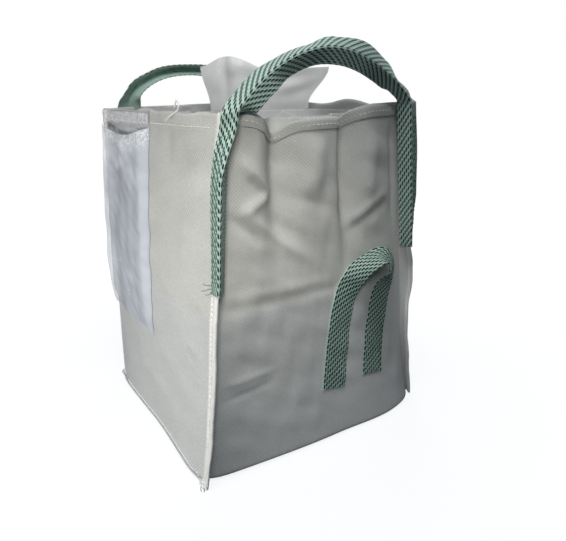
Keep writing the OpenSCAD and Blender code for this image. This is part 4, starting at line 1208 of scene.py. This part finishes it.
turned = Matrix(np.stack([right, upward, -ahead], axis=1).tolist()).to_4x4()
camera.matrix_world = Matrix.Translation(Vector(VIEW_FROM)) @ turned
bpy.context.scene.camera = camera


# Lamps, world and floor
def lamp(name, kind, start, target, watts, tint, **settings):
    light = bpy.data.lights.new(name, kind)
    light.energy = watts
    light.color = colour(tint)[:3]
    for key, value in settings.items():
        setattr(light, key, value)
    obj = bpy.data.objects.new(name, light)
    bpy.context.collection.objects.link(obj)
    obj.location = start
    obj.rotation_euler = (Vector(target) - Vector(start)).to_track_quat("-Z", "Y").to_euler()


lamp("window_light", "AREA", (-1.0, -0.15, 0.2), (-0.2, 0.02, 0.2), 5.0, "#FFFDF9", size=0.4)
lamp("top_light", "AREA", (-0.2, -0.5, 1.7), (0, 0.05, 0.6), 12, "#FBFDFF", size=0.6)
lamp("back_light", "AREA", (1.0, 1.2, 0.9), (0.1, 0.1, 0.3), 13, "#F6FAFF", size=1.0)
lamp("front_light", "SPOT", (-0.5, -0.84, 0.88), (-0.13, -0.23, 0.38), 20, "#FFFEF6",
     spot_size=math.radians(44), spot_blend=1.0, shadow_soft_size=0.16)


def studio_world():
    """Dim blue room light; the camera, glass and gloss see plain white"""
    world = bpy.data.worlds.new("studio")
    bpy.context.scene.world = world
    node = empty_tree(world)
    rays = node("LightPath")
    seen = node("Math", {0: rays["Is Camera Ray"], 1: rays["Is Transmission Ray"]}, operation="MAXIMUM")[0]
    seen = node("Math", {0: seen, 1: rays["Is Glossy Ray"]}, operation="MAXIMUM")[0]
    room = node("Background", {"Color": colour("#8FB8D6"), "Strength": 0.06})[0]
    white = node("Background", {"Color": (1, 1, 1, 1), "Strength": 1.0})[0]
    mixed = node("MixShader", {0: seen, 1: room, 2: white})[0]
    node("OutputWorld", {"Surface": mixed})


def studio_floor():
    """Pale floor that shows white and keeps a faint shadow round the bag"""
    span, below = 14, -0.5 * MM
    shade_end, white_start = 0.35, 1.2
    deselect()
    bpy.ops.mesh.primitive_grid_add(x_subdivisions=2, y_subdivisions=2, size=span, location=(0, 0, below))
    floor = bpy.context.object
    floor.name = "studio_floor"
    material, node = new_material("white_floor")
    rays = node("LightPath")
    space = node("TexCoord")["Object"]
    distance = node("VectorMath", {0: space}, operation="LENGTH")["Value"]
    glow = node("MapRange", {0: distance, 1: shade_end, 2: white_start, 3: 0.86, 4: 1.0})[0]
    matt = node("BsdfDiffuse", {"Color": colour("#757C83")})[0]
    white = node("Emission", {"Color": (1, 1, 1, 1), "Strength": glow})[0]
    both = node("AddShader", {0: matt, 1: white})[0]
    mixed = node("MixShader", {0: rays["Is Camera Ray"], 1: matt, 2: both})[0]
    node("OutputMaterial", {"Surface": mixed})
    floor.data.materials.append(material)


studio_world()
studio_floor()
bpy.context.scene.view_settings.view_transform = "Standard"
